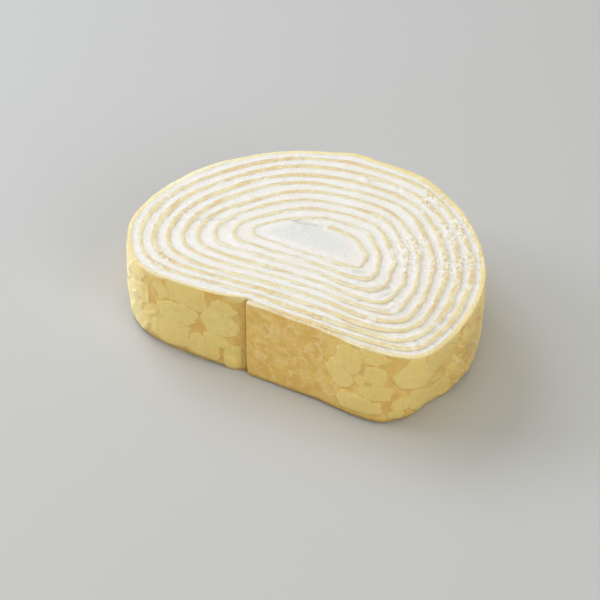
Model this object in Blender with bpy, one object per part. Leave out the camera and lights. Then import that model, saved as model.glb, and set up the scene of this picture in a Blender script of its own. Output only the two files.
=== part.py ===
"""A thick slice of a crepe roll cake, lying on one of its two cut faces.

One long crepe, spread with whipped cream, is rolled round a soft heart of
cream.  The roll has settled into a D: a flat side towards -Y and a dome
towards +Y.  The cut is square to the roll, so both cut faces show the whole
coil, and the crepe's edge stands a little proud of the cream between the
turns.  The outer end of the crepe is pressed on to the turn below it, on the
flat side, and leaves a seam there from top to bottom.

Two solids run through the whole height of the slice:
    crepe   the rolled sheet, one long band in section
    cream   the heart and the layer between the turns, one body

Lengths below are in millimetres and are turned into metres where a mesh is
written.  The slice stands on z = 0, centred on the origin.
"""

import math

import bmesh
import bpy
import numpy as np

MM = 0.001

# ---------------------------------------------------------------- sizes, mm
SLICE_HEIGHT = 26.0
CREPE_THICKNESS = 1.0
CLEARANCE = 0.3          # between the faces of crepe and cream
CREAM_DROP = 0.6         # the cream's cut face lies this far below the crepe's
CREAM_SWELL = 0.15       # how unevenly the cream's cut face lies
EDGE_RIPPLE = 0.12       # how unevenly the crepe's upper edge lies

# ---------------------------------------------------------------- the coil
# The coil is counted in turns, clockwise from above, from the crepe's inner
# end under the crown.  A turn's shape passes from the outline of the heart to
# the outline of the rim as the count grows from 0 to TURNS_TO_RIM.
TURNS_TO_RIM = 9.0
CREPE_START = 0.0
CREPE_END = 9.516
CREAM_END = 8.40         # the cream thins out where the last flap closes

# share of a turn, heart outline, rim outline, and how much fuller than an even
# spacing the middle turns lie there
COIL_STATIONS = (
    (0.00, (0.0, 3.1), (0.0, 35.7), -0.04),      # crown
    (0.06, (8.1, 2.2), (15.8, 33.4), 0.12),
    (0.12, (11.7, -0.7), (30.2, 24.6), 0.12),    # right shoulder
    (0.18, (13.5, -2.2), (42.4, 9.2), 0.09),
    (0.24, (14.2, -5.0), (47.4, -7.2), 0.13),    # right side
    (0.29, (13.9, -6.8), (46.9, -21.0), 0.26),
    (0.33, (12.0, -7.3), (43.2, -30.6), 0.23),   # right foot of the D
    (0.37, (7.7, -7.4), (34.3, -33.4), 0.22),
    (0.43, (4.8, -7.6), (20.4, -34.4), 0.04),
    (0.50, (0.0, -7.5), (0.1, -34.4), 0.03),     # flat side
    (0.56, (-6.8, -7.2), (-16.9, -35.1), 0.13),
    (0.62, (-11.6, -7.0), (-34.5, -35.5), 0.16),
    (0.66, (-13.5, -6.5), (-42.7, -30.3), 0.30),  # left foot of the D
    (0.70, (-14.3, -5.1), (-48.1, -21.3), 0.22),
    (0.75, (-13.0, -4.1), (-49.1, -8.0), 0.15),  # left end
    (0.82, (-10.3, -1.9), (-44.7, 7.6), 0.00),
    (0.91, (-5.9, 0.4), (-26.2, 27.7), 0.09),    # left shoulder
)

# Over the right foot the wall leans in towards the plate, at the left end it
# leans out: share of a turn, reach to either side, lean in at the bottom
WALL_LEANS = ((0.315, 0.075, 5.2), (0.25, 0.09, 1.3), (0.63, 0.04, 1.4),
              (0.725, 0.06, -1.2))

# The last flap lies straight on the turn below, with no cream
FLAP_CLOSES = (9.385, 9.45)
FLAP_SINK = 2.3
# The turn below is pressed in under the flap, and nips in at the seam
SEAM_TURN = 8.522
SEAM_NIP = 0.6
SEAM_REACH = 0.017
UNDER_FLAP = (8.40, 8.45)
UNDER_FLAP_SINK = 0.45
BESIDE_SEAM = (8.562, 0.05, 0.55)     # middle, reach and height of the swell

# The outer wall: rows of facets up its height, and its soft unevenness
WALL_FROM = 8.53
WALL_ROWS = (0.0, 0.05, 0.2, 0.4, 0.6, 0.8, 0.955, 1.0)
WALL_BULGE = 0.25
FOOT_ROUND = 0.5
RIM_ROUND = 0.25
WALL_DIMPLE = 0.28

# Facets along the coil: finer in tight bends
FACET_MIN = 1.2
FACET_MAX = 4.2
FACET_PER_RADIUS = 0.26


def smooth_step(value, low, high):
    """Rise from 0 at low to 1 at high, level at both ends."""
    share = np.clip((np.asarray(value, float) - low) / (high - low), 0.0, 1.0)
    return share * share * (3.0 - 2.0 * share)


def hump(value, middle, reach):
    """A smooth hump, 1 at the middle and 0 beyond the reach."""
    share = np.clip(np.abs(np.asarray(value, float) - middle) / reach, 0.0, 1.0)
    return 0.5 + 0.5 * np.cos(math.pi * share)


def round_the_turn(share, middle, reach):
    """The same hump on a share of a turn, where 1 meets 0."""
    away = (np.asarray(share, float) - middle + 0.5) % 1.0 - 0.5
    return hump(away, 0.0, reach)


class ClosedSpline:
    """A cubic that passes smoothly through stations round one whole turn."""

    def __init__(self, shares, values):
        self.shares = np.append(np.asarray(shares, float), 1.0)
        values = np.asarray(values, float)
        self.values = np.vstack([values, values[:1]])
        count = len(values)
        gaps = np.diff(self.shares)
        steps = np.diff(self.values, axis=0)
        system = np.zeros((count, count))
        right = np.zeros_like(values)
        for i in range(count):
            before, after = gaps[i - 1], gaps[i]
            system[i, i - 1] += before
            system[i, i] += 2.0 * (before + after)
            system[i, (i + 1) % count] += after
            right[i] = 6.0 * (steps[i] / after - steps[i - 1] / before)
        bends = np.linalg.solve(system, right)
        self.bends = np.vstack([bends, bends[:1]])

    def __call__(self, share):
        share = np.asarray(share, float) % 1.0
        i = np.clip(np.searchsorted(self.shares, share, side="right") - 1,
                    0, len(self.shares) - 2)
        gap = self.shares[i + 1] - self.shares[i]
        b = ((share - self.shares[i]) / gap)[..., None]
        a = 1.0 - b
        gap = gap[..., None]
        return (a * self.values[i] + b * self.values[i + 1]
                + ((a ** 3 - a) * self.bends[i] + (b ** 3 - b) * self.bends[i + 1])
                * gap * gap / 6.0)


STATIONS = ClosedSpline(
    [row[0] for row in COIL_STATIONS],
    [(*row[1], *row[2], row[3]) for row in COIL_STATIONS])


def coil_line(turn, level):
    """Middle of the crepe at a turn count and a level from 0 to 1, in plan."""
    turn = np.asarray(turn, float)
    share = turn % 1.0
    heart_x, heart_y, rim_x, rim_y, fullness = np.moveaxis(STATIONS(share), -1, 0)
    heart = np.stack([heart_x, heart_y], -1)
    reach = np.stack([rim_x, rim_y], -1) - heart
    length = np.linalg.norm(reach, axis=-1)
    out = turn / TURNS_TO_RIM
    out = out + fullness * out * (1.0 - out)
    lean = sum(depth * round_the_turn(share, middle, width)
               for middle, width, depth in WALL_LEANS)
    out = out * (1.0 - lean * (1.0 - level) / length)
    sink = (FLAP_SINK * smooth_step(turn, *FLAP_CLOSES)
            + UNDER_FLAP_SINK * smooth_step(turn, *UNDER_FLAP)
            * (1.0 - smooth_step(turn, SEAM_TURN, SEAM_TURN + 0.03))
            + SEAM_NIP * hump(turn, SEAM_TURN, SEAM_REACH)
            - BESIDE_SEAM[2] * hump(turn, BESIDE_SEAM[0], BESIDE_SEAM[1]))
    out = out - sink / length
    return heart + out[..., None] * reach


def coil_normal(turn, level):
    """Outward normal of the coil in plan."""
    step = 0.0008
    along = coil_line(turn + step, level) - coil_line(turn - step, level)
    along = along / np.linalg.norm(along, axis=-1, keepdims=True)
    return np.stack([-along[..., 1], along[..., 0]], -1)


def wall_relief(turn, level):
    """How far the outermost turn stands out from the straight wall."""
    turn = np.asarray(turn, float)
    outer = smooth_step(turn, WALL_FROM, WALL_FROM + 0.05)
    loose = outer * (1.0 - smooth_step(turn, 9.33, 9.38))
    bulge = WALL_BULGE * 4.0 * level * (1.0 - level)
    rounding = (FOOT_ROUND * np.exp(-(level * SLICE_HEIGHT / 1.6) ** 2)
                + RIM_ROUND * np.exp(-((1.0 - level) * SLICE_HEIGHT / 1.2) ** 2))
    dimples = WALL_DIMPLE * np.sin(2.0 * math.pi * (23.0 * turn + 1.7 * level)) \
        * np.sin(2.0 * math.pi * (1.3 * level + 3.1 * turn)) * 4.0 * level * (1.0 - level)
    return outer * bulge + loose * (dimples - rounding)


def rolled(turn, level, side=0.0):
    """Plan position at a turn and level, side mm outwards from the middle."""
    normal = coil_normal(turn, level)
    away = side + wall_relief(turn, level)
    return coil_line(turn, level) + np.asarray(away)[..., None] * normal


def facets_wanted(turns):
    """How many facets a whole turn would need, at each turn count."""
    line = coil_line(turns, 0.5)
    along = np.gradient(line, turns, axis=0)
    speed = np.linalg.norm(along, axis=1)
    heading = np.unwrap(np.arctan2(along[:, 1], along[:, 0]))
    bend = np.abs(np.gradient(heading, turns)) / speed
    size = np.clip(FACET_PER_RADIUS / np.maximum(bend, 1e-4), FACET_MIN, FACET_MAX)
    return np.convolve(np.pad(speed / size, 8, mode="edge"),
                       np.ones(17) / 17.0, mode="valid")


def facet_shares():
    """Shares of a turn where facets meet, the same on every turn.

    Crepe and cream then have their facets side by side, and stay apart.
    """
    share = np.linspace(0.0, 1.0, 2001)
    wanted = facets_wanted(8.0 + share)
    count = np.concatenate(
        [[0.0], np.cumsum(0.5 * (wanted[1:] + wanted[:-1]) * np.diff(share))])
    whole = int(math.ceil(count[-1]))
    return np.interp(np.arange(whole) * count[-1] / whole, count, share)


SHARES = facet_shares()


def facet_turns(start, end):
    """Turn counts of the facet edges from start to end."""
    near = 0.3 / len(SHARES)
    inside = [turn + share for turn in range(int(start), int(end) + 1)
              for share in SHARES if start + near < turn + share < end - near]
    return np.array([start] + inside + [end])


def slice_centre():
    """Middle of the slice's bounding box in plan."""
    turns = np.linspace(WALL_FROM + 0.001, CREPE_END, 1200)
    reach = np.vstack([rolled(turns, np.full_like(turns, level), CREPE_THICKNESS / 2.0)
                       for level in WALL_ROWS])
    return (reach.min(axis=0) + reach.max(axis=0)) / 2.0


CENTRE = slice_centre()


def crepe_edge_height(turn):
    """Height of the crepe's upper cut edge."""
    return SLICE_HEIGHT - EDGE_RIPPLE * (
        0.5 + 0.5 * np.sin(2.0 * math.pi * 5.3 * turn) * np.sin(2.0 * math.pi * 1.7 * turn))


def cream_height(turn):
    """Height of the cream's cut face."""
    return SLICE_HEIGHT - CREAM_DROP - CREAM_SWELL * (
        0.5 + 0.5 * np.sin(2.0 * math.pi * 4.1 * turn) * np.cos(2.0 * math.pi * 2.3 * turn))


def in_metres(plan, height):
    """Plan position and height, in metres from the origin."""
    return ((plan[0] - CENTRE[0]) * MM, (plan[1] - CENTRE[1]) * MM, height * MM)


def principled(name, colour, roughness, subsurface):
    """A plain food material."""
    material = bpy.data.materials.new(name)
    material.use_nodes = True
    shader = material.node_tree.nodes["Principled BSDF"]
    shader.inputs["Base Color"].default_value = (*colour, 1.0)
    shader.inputs["Roughness"].default_value = roughness
    shader.inputs["Metallic"].default_value = 0.0
    shader.inputs["Subsurface Weight"].default_value = subsurface
    material.diffuse_color = (*colour, 1.0)
    return material


def add_object(name, form, material, collection):
    """Write a bmesh to a new object in the collection, its faces outwards.

    The tall leaning faces are split along their shorter diagonal, so that the
    faces of crepe and cream bend the same way.
    """
    bmesh.ops.triangulate(form, faces=form.faces[:], quad_method="SHORT_EDGE",
                          ngon_method="BEAUTY")
    bmesh.ops.recalc_face_normals(form, faces=form.faces[:])
    if form.calc_volume(signed=True) < 0.0:
        bmesh.ops.reverse_faces(form, faces=form.faces[:])
    mesh = bpy.data.meshes.new(name)
    form.to_mesh(mesh)
    form.free()
    mesh.materials.append(material)
    obj = bpy.data.objects.new(name, mesh)
    collection.objects.link(obj)
    return obj


def chain(form, turn_layer, turns):
    """A chain of edges with the coil's turn counts written on its points."""
    points = []
    for turn in turns:
        point = form.verts.new((turn, 0.0, 0.0))
        point[turn_layer] = turn
        points.append(point)
    for first, second in zip(points[:-1], points[1:]):
        form.edges.new((first, second))
    return points


def new_points(result):
    """The points that an extrusion has made."""
    return [item for item in result["geom"] if isinstance(item, bmesh.types.BMVert)]


def make_crepe(collection):
    """The rolled sheet: a long flat band, raised, thickened and rolled up."""
    form = bmesh.new()
    turn_of = form.verts.layers.float.new("turn")
    side_of = form.verts.layers.float.new("side")
    chain(form, turn_of, facet_turns(CREPE_START, CREPE_END))
    raised = bmesh.ops.extrude_edge_only(form, edges=form.edges[:])
    bmesh.ops.translate(form, verts=new_points(raised), vec=(0.0, 0.0, 1.0))

    outer = [edge for edge in form.edges
             if abs(edge.verts[0].co.z - edge.verts[1].co.z) > 0.5
             and edge.verts[0].co.x > WALL_FROM - 0.03]
    bmesh.ops.subdivide_edges(form, edges=outer, cuts=len(WALL_ROWS) - 2,
                              use_grid_fill=True)

    half = CREPE_THICKNESS / 2.0
    for point in form.verts:
        point[side_of] = -half
    thickened = bmesh.ops.extrude_face_region(form, geom=form.faces[:])
    for point in new_points(thickened):
        point[side_of] = half

    rows = len(WALL_ROWS) - 1
    for point in form.verts:
        turn = point.co.x
        level = WALL_ROWS[int(round(point.co.z * rows))]
        height = level * float(crepe_edge_height(turn))
        point.co = in_metres(rolled(turn, level, point[side_of]), height)
    return add_object("crepe", form,
                      principled("crepe_baked", (0.72, 0.47, 0.14), 0.6, 0.1),
                      collection)


def make_cream(collection):
    """The heart and the spread layer: one flat outline, raised and fitted."""
    form = bmesh.new()
    turn_of = form.verts.layers.float.new("turn")
    side_of = form.verts.layers.float.new("side")
    off_face = CREPE_THICKNESS / 2.0 + CLEARANCE
    tip = CLEARANCE / np.linalg.norm(
        coil_line(0.005, 0.5) - coil_line(-0.005, 0.5)) * 0.01

    # the layer: from the outside of one turn to the inside of the next
    turns = facet_turns(CREPE_START, CREAM_END)
    turns[0] = -tip
    inner = chain(form, turn_of, turns)
    for point in inner:
        point[side_of] = off_face
    spread = bmesh.ops.extrude_edge_only(form, edges=form.edges[:])
    outer = new_points(spread)
    for point in outer:
        point[side_of] = -off_face
        point[turn_of] = point[turn_of] + 1.0
    start_inner = inner[0]
    start_outer = min(outer, key=lambda point: point[turn_of])

    # the heart: everything inside the first turn
    lining = []
    for turn in [-tip] + [t for t in facet_turns(CREPE_START, 1.0)
                          if 0.02 < t < 1.0 - tip - 0.01]:
        point = form.verts.new((turn, 0.0, 0.0))
        point[turn_of] = turn
        point[side_of] = -off_face
        lining.append(point)
    form.faces.new([start_inner] + lining + [start_outer])

    raised = bmesh.ops.extrude_face_region(form, geom=form.faces[:])
    bmesh.ops.translate(form, verts=new_points(raised), vec=(0.0, 0.0, 1.0))

    for point in form.verts:
        turn, side = point[turn_of], point[side_of]
        level = 1.0 if point.co.z > 0.5 else 0.0
        # both edges of the layer stand at the height of the turn inside it
        count = turn - 1.0 if side < 0.0 else turn
        in_heart = turn < 1.0 and side < 0.0
        height = level * float(cream_height(0.0 if in_heart else max(count, 0.0)))
        point.co = in_metres(rolled(turn, level, side), height)
    return add_object("cream", form,
                      principled("whipped_cream", (0.84, 0.81, 0.72), 0.55, 0.2),
                      collection)


def main():
    """Clear the scene and build the slice."""
    for obj in list(bpy.data.objects):
        bpy.data.objects.remove(obj, do_unlink=True)
    collection = bpy.data.collections.new("crepe_roll_cake")
    bpy.context.scene.collection.children.link(collection)
    make_crepe(collection)
    make_cream(collection)


if __name__ == "__main__":
    main()
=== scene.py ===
"""Dresses a thick slice of crepe roll cake: the rolled crepe, its cream, and a small studio.

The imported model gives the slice's box and its two solids, `crepe` and `cream`.  Both are
replaced here by finer meshes of the same form: one long crepe rolled up on the same coil,
with its blistered baked side outwards, and the whipped cream between its turns.

Plan positions, heights and widths are in millimetres, and are turned into metres where a
mesh is written.  The coil is counted in turns, clockwise from above, from the crepe's inner
end under the crown, as in the part's source.
"""

import logging
import math
from dataclasses import dataclass, field
from enum import Enum
from typing import Iterable, Sequence

import bmesh
import bpy
import numpy as np
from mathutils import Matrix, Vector, noise

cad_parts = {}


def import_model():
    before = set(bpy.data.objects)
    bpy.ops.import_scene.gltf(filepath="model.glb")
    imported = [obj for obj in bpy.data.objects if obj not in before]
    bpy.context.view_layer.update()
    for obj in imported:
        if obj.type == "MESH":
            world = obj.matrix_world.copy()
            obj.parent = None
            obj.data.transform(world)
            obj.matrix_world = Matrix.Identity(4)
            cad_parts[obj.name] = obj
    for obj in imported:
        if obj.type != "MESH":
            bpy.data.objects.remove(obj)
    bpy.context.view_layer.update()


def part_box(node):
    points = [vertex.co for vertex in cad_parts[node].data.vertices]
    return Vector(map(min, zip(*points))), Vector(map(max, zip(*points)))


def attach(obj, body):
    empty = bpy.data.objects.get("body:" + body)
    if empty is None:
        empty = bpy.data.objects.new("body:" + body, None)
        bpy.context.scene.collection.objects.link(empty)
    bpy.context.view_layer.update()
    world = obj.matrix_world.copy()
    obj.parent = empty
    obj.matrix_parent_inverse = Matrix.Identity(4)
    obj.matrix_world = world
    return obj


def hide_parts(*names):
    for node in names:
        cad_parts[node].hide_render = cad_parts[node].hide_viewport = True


MM = 0.001
SHARP = math.radians(50.0)            # an edge bent further than this is shaded as a crease
TURN_LENGTH = 150.0                   # mm of unevenness laid along one turn of the coil
AT_TOP, AT_BOTTOM = 0.999, 0.001      # levels beyond these lie on a cut face
OUTER_FACE = 0.99                     # sides beyond this lie on the crepe's outer face
LOG = logging.getLogger("crepe_roll_cake")

Socket = bpy.types.NodeSocket
Span = tuple[float, float]                        # from and to
Humps = tuple[tuple[float, float, float], ...]    # middle, reach to either side and height


class Face(Enum):
    """The two cut faces, by their level in the slice."""

    LOWER = 0.0
    UPPER = 1.0


# ------------------------------------------------------------------ small helpers
def smooth_step(value: np.ndarray, low: float, high: float) -> np.ndarray:
    """Rise from 0 at low to 1 at high, level at both ends.

    Args:
        value: where to read the step.
        low: where it starts to rise.
        high: where it has risen.

    Returns:
        The step's height at each value.
    """
    share = np.clip((np.asarray(value, float) - low) / (high - low), 0.0, 1.0)
    return share * share * (3.0 - 2.0 * share)


def hump(value: np.ndarray, middle: float, reach: float) -> np.ndarray:
    """A smooth hump, 1 at the middle and 0 beyond the reach.

    Args:
        value: where to read the hump.
        middle: where it is highest.
        reach: how far it spreads to either side.

    Returns:
        The hump's height at each value.
    """
    share = np.clip(np.abs(np.asarray(value, float) - middle) / reach, 0.0, 1.0)
    return 0.5 + 0.5 * np.cos(math.pi * share)


def round_the_turn(share: np.ndarray, middle: float, reach: float) -> np.ndarray:
    """The same hump on a share of a turn, where 1 meets 0.

    Args:
        share: share of a turn.
        middle: where the hump is highest.
        reach: how far it spreads to either side.

    Returns:
        The hump's height at each share.
    """
    away = (np.asarray(share, float) - middle + 0.5) % 1.0 - 0.5
    return hump(away, 0.0, reach)


def humps(value: np.ndarray, rows: Humps) -> np.ndarray:
    """Several humps together."""
    return sum(height * hump(value, middle, reach) for middle, reach, height in rows)


def humps_round_the_turn(share: np.ndarray, rows: Humps) -> np.ndarray:
    """Several humps together on a share of a turn, where 1 meets 0."""
    return sum(height * round_the_turn(share, middle, reach) for middle, reach, height in rows)


def lumps(places: np.ndarray, size: float, seed: int = 0) -> np.ndarray:
    """Soft unevenness, from about -1 to 1.

    Args:
        places: one row of two or three coordinates for each point, in mm.
        size: how far apart the lumps lie, in mm.
        seed: a whole number for another draw.

    Returns:
        One value for each point.
    """
    places = np.asarray(places, float)
    if places.shape[1] == 2:
        places = np.column_stack([places, np.zeros(len(places))])
    shift = np.array([13.7, 7.1, 3.3]) * (seed + 1)
    return np.array([noise.noise(Vector(row)) for row in places / size + shift])


def pebbles(places: np.ndarray, size: float, seed: int = 0) -> np.ndarray:
    """Rounded bumps with sharp dips between them, from 0 to about 1.

    Args:
        places: one row of two coordinates for each point, in mm.
        size: how far apart the bumps lie, in mm.
        seed: a whole number for another draw.

    Returns:
        One value for each point, 1 on top of a bump.
    """
    places = np.column_stack([places, np.zeros(len(places))]) / size + 5.3 * (seed + 1)
    return np.array([1.0 - min(noise.voronoi(Vector(row))[0][0], 1.0) for row in places])


def along_coil(turn: np.ndarray) -> np.ndarray:
    """Places for unevenness that runs along the coil, for turn counts, in mm."""
    return np.column_stack([TURN_LENGTH * turn, 0.0 * turn])


class ClosedSpline:
    """A cubic that passes smoothly through stations round one whole turn."""

    def __init__(self, shares: Sequence[float], values: Sequence[Sequence[float]]) -> None:
        """Solve for the bend at each station.

        Args:
            shares: share of a turn of each station, rising from 0.
            values: one row of values for each station.
        """
        self.shares = np.append(np.asarray(shares, float), 1.0)
        rows = np.asarray(values, float)
        self.values = np.vstack([rows, rows[:1]])
        count = len(rows)
        gaps = np.diff(self.shares)
        steps = np.diff(self.values, axis=0)
        system = np.zeros((count, count))
        right = np.zeros_like(rows)
        for i in range(count):
            before, after = gaps[i - 1], gaps[i]
            system[i, i - 1] += before
            system[i, i] += 2.0 * (before + after)
            system[i, (i + 1) % count] += after
            right[i] = 6.0 * (steps[i] / after - steps[i - 1] / before)
        bends = np.linalg.solve(system, right)
        self.bends = np.vstack([bends, bends[:1]])

    def __call__(self, share: np.ndarray) -> np.ndarray:
        """Read the spline.

        Args:
            share: shares of a turn.

        Returns:
            One row of values for each share.
        """
        share = np.asarray(share, float) % 1.0
        i = np.clip(np.searchsorted(self.shares, share, side="right") - 1,
                    0, len(self.shares) - 2)
        gap = self.shares[i + 1] - self.shares[i]
        b = ((share - self.shares[i]) / gap)[..., None]
        a = 1.0 - b
        gap = gap[..., None]
        return (a * self.values[i] + b * self.values[i + 1]
                + ((a ** 3 - a) * self.bends[i] + (b ** 3 - b) * self.bends[i + 1])
                * gap * gap / 6.0)


# ------------------------------------------------------------------ the roll
@dataclass(frozen=True)
class Station:
    """Where one direction from the heart meets the heart's outline and the rim."""

    share: float
    heart: tuple[float, float]
    rim: tuple[float, float]
    fullness: float          # how much fuller than an even spacing the middle turns lie


STATIONS = (
    Station(0.00, (0.0, 3.1), (0.0, 35.7), -0.04),      # crown
    Station(0.06, (8.1, 2.2), (15.8, 33.4), 0.12),
    Station(0.12, (11.7, -0.7), (30.2, 24.6), 0.12),    # right shoulder
    Station(0.18, (13.5, -2.2), (42.4, 9.2), 0.09),
    Station(0.24, (14.2, -5.0), (47.4, -7.2), 0.13),    # right side
    Station(0.29, (13.9, -6.8), (46.9, -21.0), 0.26),
    Station(0.33, (12.0, -7.3), (43.2, -30.6), 0.23),   # right foot of the D
    Station(0.37, (7.7, -7.4), (34.3, -33.4), 0.22),
    Station(0.43, (4.8, -7.6), (20.4, -34.4), 0.04),
    Station(0.50, (0.0, -7.5), (0.1, -34.4), 0.03),     # flat side
    Station(0.56, (-6.8, -7.2), (-16.9, -35.1), 0.13),
    Station(0.62, (-11.6, -7.0), (-34.5, -35.5), 0.16),
    Station(0.66, (-13.5, -6.5), (-42.7, -30.3), 0.30),  # left foot of the D
    Station(0.70, (-14.3, -5.1), (-48.1, -21.3), 0.22),
    Station(0.75, (-13.0, -4.1), (-49.1, -8.0), 0.15),  # left end
    Station(0.82, (-10.3, -1.9), (-44.7, 7.6), 0.00),
    Station(0.91, (-5.9, 0.4), (-26.2, 27.7), 0.09),    # left shoulder
)


@dataclass
class Coil:
    """The line that the rolled crepe follows, at every height of the slice.

    Spans and humps are counted in turns, or in shares of a turn where they are said to be.
    """

    height: float = 26.0
    crepe_thickness: float = 1.0
    turns_to_rim: float = 9.0
    start: float = 0.0
    end: float = 9.516
    seam: float = 8.522               # where the turn below comes out from the flap
    cream_end: float = 8.452          # the cream thins out where the last flap closes
    wall_leans: Humps = (             # how far the foot leans in, on a share of a turn
        (0.315, 0.075, 5.2), (0.25, 0.09, 1.3), (0.63, 0.04, 1.4), (0.725, 0.06, -1.2))
    flap_closes: Span = (9.385, 9.45)
    flap_sink: float = 2.3
    seam_nip: float = 0.6
    seam_reach: float = 0.017
    under_flap: Span = (8.40, 8.45)
    under_flap_sink: float = 0.45
    under_flap_opens: float = 0.03    # how far past the seam the sink lasts
    beside_seam: Humps = ((8.562, 0.05, 0.55),)
    wall_from: float = 8.53
    wall_rise: float = 0.05           # the stretch over which the wall comes out
    wall_settles: Span = (9.33, 9.38)    # the flap's foot and rim aren't rounded from here
    wall_bulge: float = 0.25
    foot_round: float = 0.5
    foot_reach: float = 1.6           # mm up the wall
    rim_round: float = 0.12
    rim_reach: float = 1.2            # mm down the wall
    inner_ends: Span = (8.2, 8.5)     # the inner turns' unevenness fades out here
    edge_width: float = 1.16          # the cut edge's width, in thicknesses
    edge_wider: Humps = ((0.84, 0.18, 0.24), (0.22, 0.13, 0.08), (0.50, 0.20, -0.12))
    edge_grows: Span = (3.0, 7.5)
    edge_growth: float = 0.34
    edge_at_start: Humps = ((0.27, 0.12, 0.65),)      # how much narrower it starts
    outermost: Span = (8.36, 8.54)    # the outermost turn takes over here
    flap: Span = (9.2, 9.36)          # and ends as the flap here
    rim_width: float = 1.3            # how thick the outermost turn looks at its inner face
    rim_wider: Humps = ((0.78, 0.13, 0.7), (0.04, 0.13, 1.9), (0.48, 0.26, -1.0))
    wobble: float = 0.34              # how far the line strays from an even coil
    uneven_edge: float = 0.66         # how much the crepe's width varies
    corners: Humps = (                # blunt corners of the rim, half as strong one turn in
        (8.974, 0.026, 1.0), (9.050, 0.034, 0.65), (8.72, 0.05, 0.25), (8.792, 0.03, -0.2),
        (9.17, 0.10, 0.3))
    kinks: Humps = (                  # blunt corners of the inner turns
        (3.326, 0.036, 0.75), (4.318, 0.031, 1.0), (5.314, 0.030, 0.4), (2.330, 0.030, 0.3),
        (3.265, 0.022, 0.2), (4.235, 0.018, 0.35), (4.19, 0.016, -0.3), (3.21, 0.018, -0.25))
    waver: float = 0.55               # how far the inner turns waver on the right
    waver_from: Span = (1.4, 2.2)
    waver_side: Humps = ((0.21, 0.16, 1.0),)
    middle: tuple[float, float] = (0.0, 0.0)
    spline: ClosedSpline = field(init=False)

    def __post_init__(self) -> None:
        """Fit the spline and find the middle of the slice's outline."""
        self.spline = ClosedSpline(
            [s.share for s in STATIONS],
            [(*s.heart, *s.rim, s.fullness) for s in STATIONS])
        turns = np.linspace(self.wall_from + 0.001, self.end, 1200)
        rows = [self.line(turns, np.full_like(turns, level))
                + (0.5 * self.crepe_thickness + self.stand_out(turns, level))[:, None]
                * self.normal(turns, level) for level in (Face.LOWER.value, 0.5, Face.UPPER.value)]
        reach = np.vstack(rows)
        self.middle = tuple(0.5 * (reach.min(axis=0) + reach.max(axis=0)))

    def line(self, turn: np.ndarray, level: np.ndarray) -> np.ndarray:
        """Middle of the crepe in plan.

        Args:
            turn: turn counts.
            level: height in the slice, from 0 to 1.

        Returns:
            One plan position for each turn count.
        """
        turn = np.asarray(turn, float)
        share = turn % 1.0
        heart_x, heart_y, rim_x, rim_y, fullness = np.moveaxis(self.spline(share), -1, 0)
        heart = np.stack([heart_x, heart_y], -1)
        reach = np.stack([rim_x, rim_y], -1) - heart
        length = np.linalg.norm(reach, axis=-1)
        out = turn / self.turns_to_rim
        out = out + fullness * out * (1.0 - out)
        lean = humps_round_the_turn(share, self.wall_leans)
        out = out * (1.0 - lean * (1.0 - level) / length)
        sink = (self.flap_sink * smooth_step(turn, *self.flap_closes)
                + self.under_flap_sink * smooth_step(turn, *self.under_flap)
                * (1.0 - smooth_step(turn, self.seam, self.seam + self.under_flap_opens))
                + self.seam_nip * hump(turn, self.seam, self.seam_reach)
                - humps(turn, self.beside_seam))
        out = out - sink / length
        return heart + out[..., None] * reach

    def normal(self, turn: np.ndarray, level: np.ndarray) -> np.ndarray:
        """Outward normal of the coil in plan.

        Args:
            turn: turn counts.
            level: height in the slice, from 0 to 1.

        Returns:
            One unit vector for each turn count.
        """
        step = 0.0008
        turn = np.asarray(turn, float)
        along = self.line(turn + step, level) - self.line(turn - step, level)
        along = along / np.linalg.norm(along, axis=-1, keepdims=True)
        return np.stack([-along[..., 1], along[..., 0]], -1)

    def stand_out(self, turn: np.ndarray, level: np.ndarray) -> np.ndarray:
        """How far the outermost turn stands out from a straight wall.

        Args:
            turn: turn counts.
            level: height in the slice, from 0 to 1.

        Returns:
            Distance along the normal for each turn count, in mm.
        """
        turn = np.asarray(turn, float)
        level = np.asarray(level, float)
        outer = smooth_step(turn, self.wall_from, self.wall_from + self.wall_rise)
        loose = outer * (1.0 - smooth_step(turn, *self.wall_settles))
        bulge = self.wall_bulge * 4.0 * level * (1.0 - level)
        foot = self.foot_round * np.exp(-(level * self.height / self.foot_reach) ** 2)
        rim = self.rim_round * np.exp(-((1.0 - level) * self.height / self.rim_reach) ** 2)
        return outer * bulge - loose * (foot + rim)

    def half_width(self, turn: np.ndarray, side: np.ndarray) -> np.ndarray:
        """Distance from the crepe's middle line to its uneven inner or outer face.

        Args:
            turn: turn counts.
            side: below 0 for the inner face, above 0 for the outer one.

        Returns:
            One distance for each turn count, in mm.
        """
        turn = np.asarray(turn, float)
        run = along_coil(turn)
        share = turn % 1.0
        region = (self.edge_width + humps_round_the_turn(share, self.edge_wider)
                  + self.edge_growth * smooth_step(turn, *self.edge_grows)
                  - humps(turn, self.edge_at_start))
        uneven = self.uneven_edge * (lumps(run, 9.0, 1) + 0.4 * lumps(run, 2.6, 2)
                                     + 0.25 * lumps(run + 40.0 * side[:, None], 1.1, 5))
        wall = smooth_step(turn, *self.outermost)
        flap = smooth_step(turn, *self.flap)
        rim = self.rim_width + humps_round_the_turn(share, self.rim_wider)
        inner = region + uneven + (rim - region) * wall * (1.0 - flap)
        outer = region + uneven + (1.0 - region - uneven) * wall
        return 0.5 * self.crepe_thickness * np.where(np.asarray(side) < 0.0, inner, outer)

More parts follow.
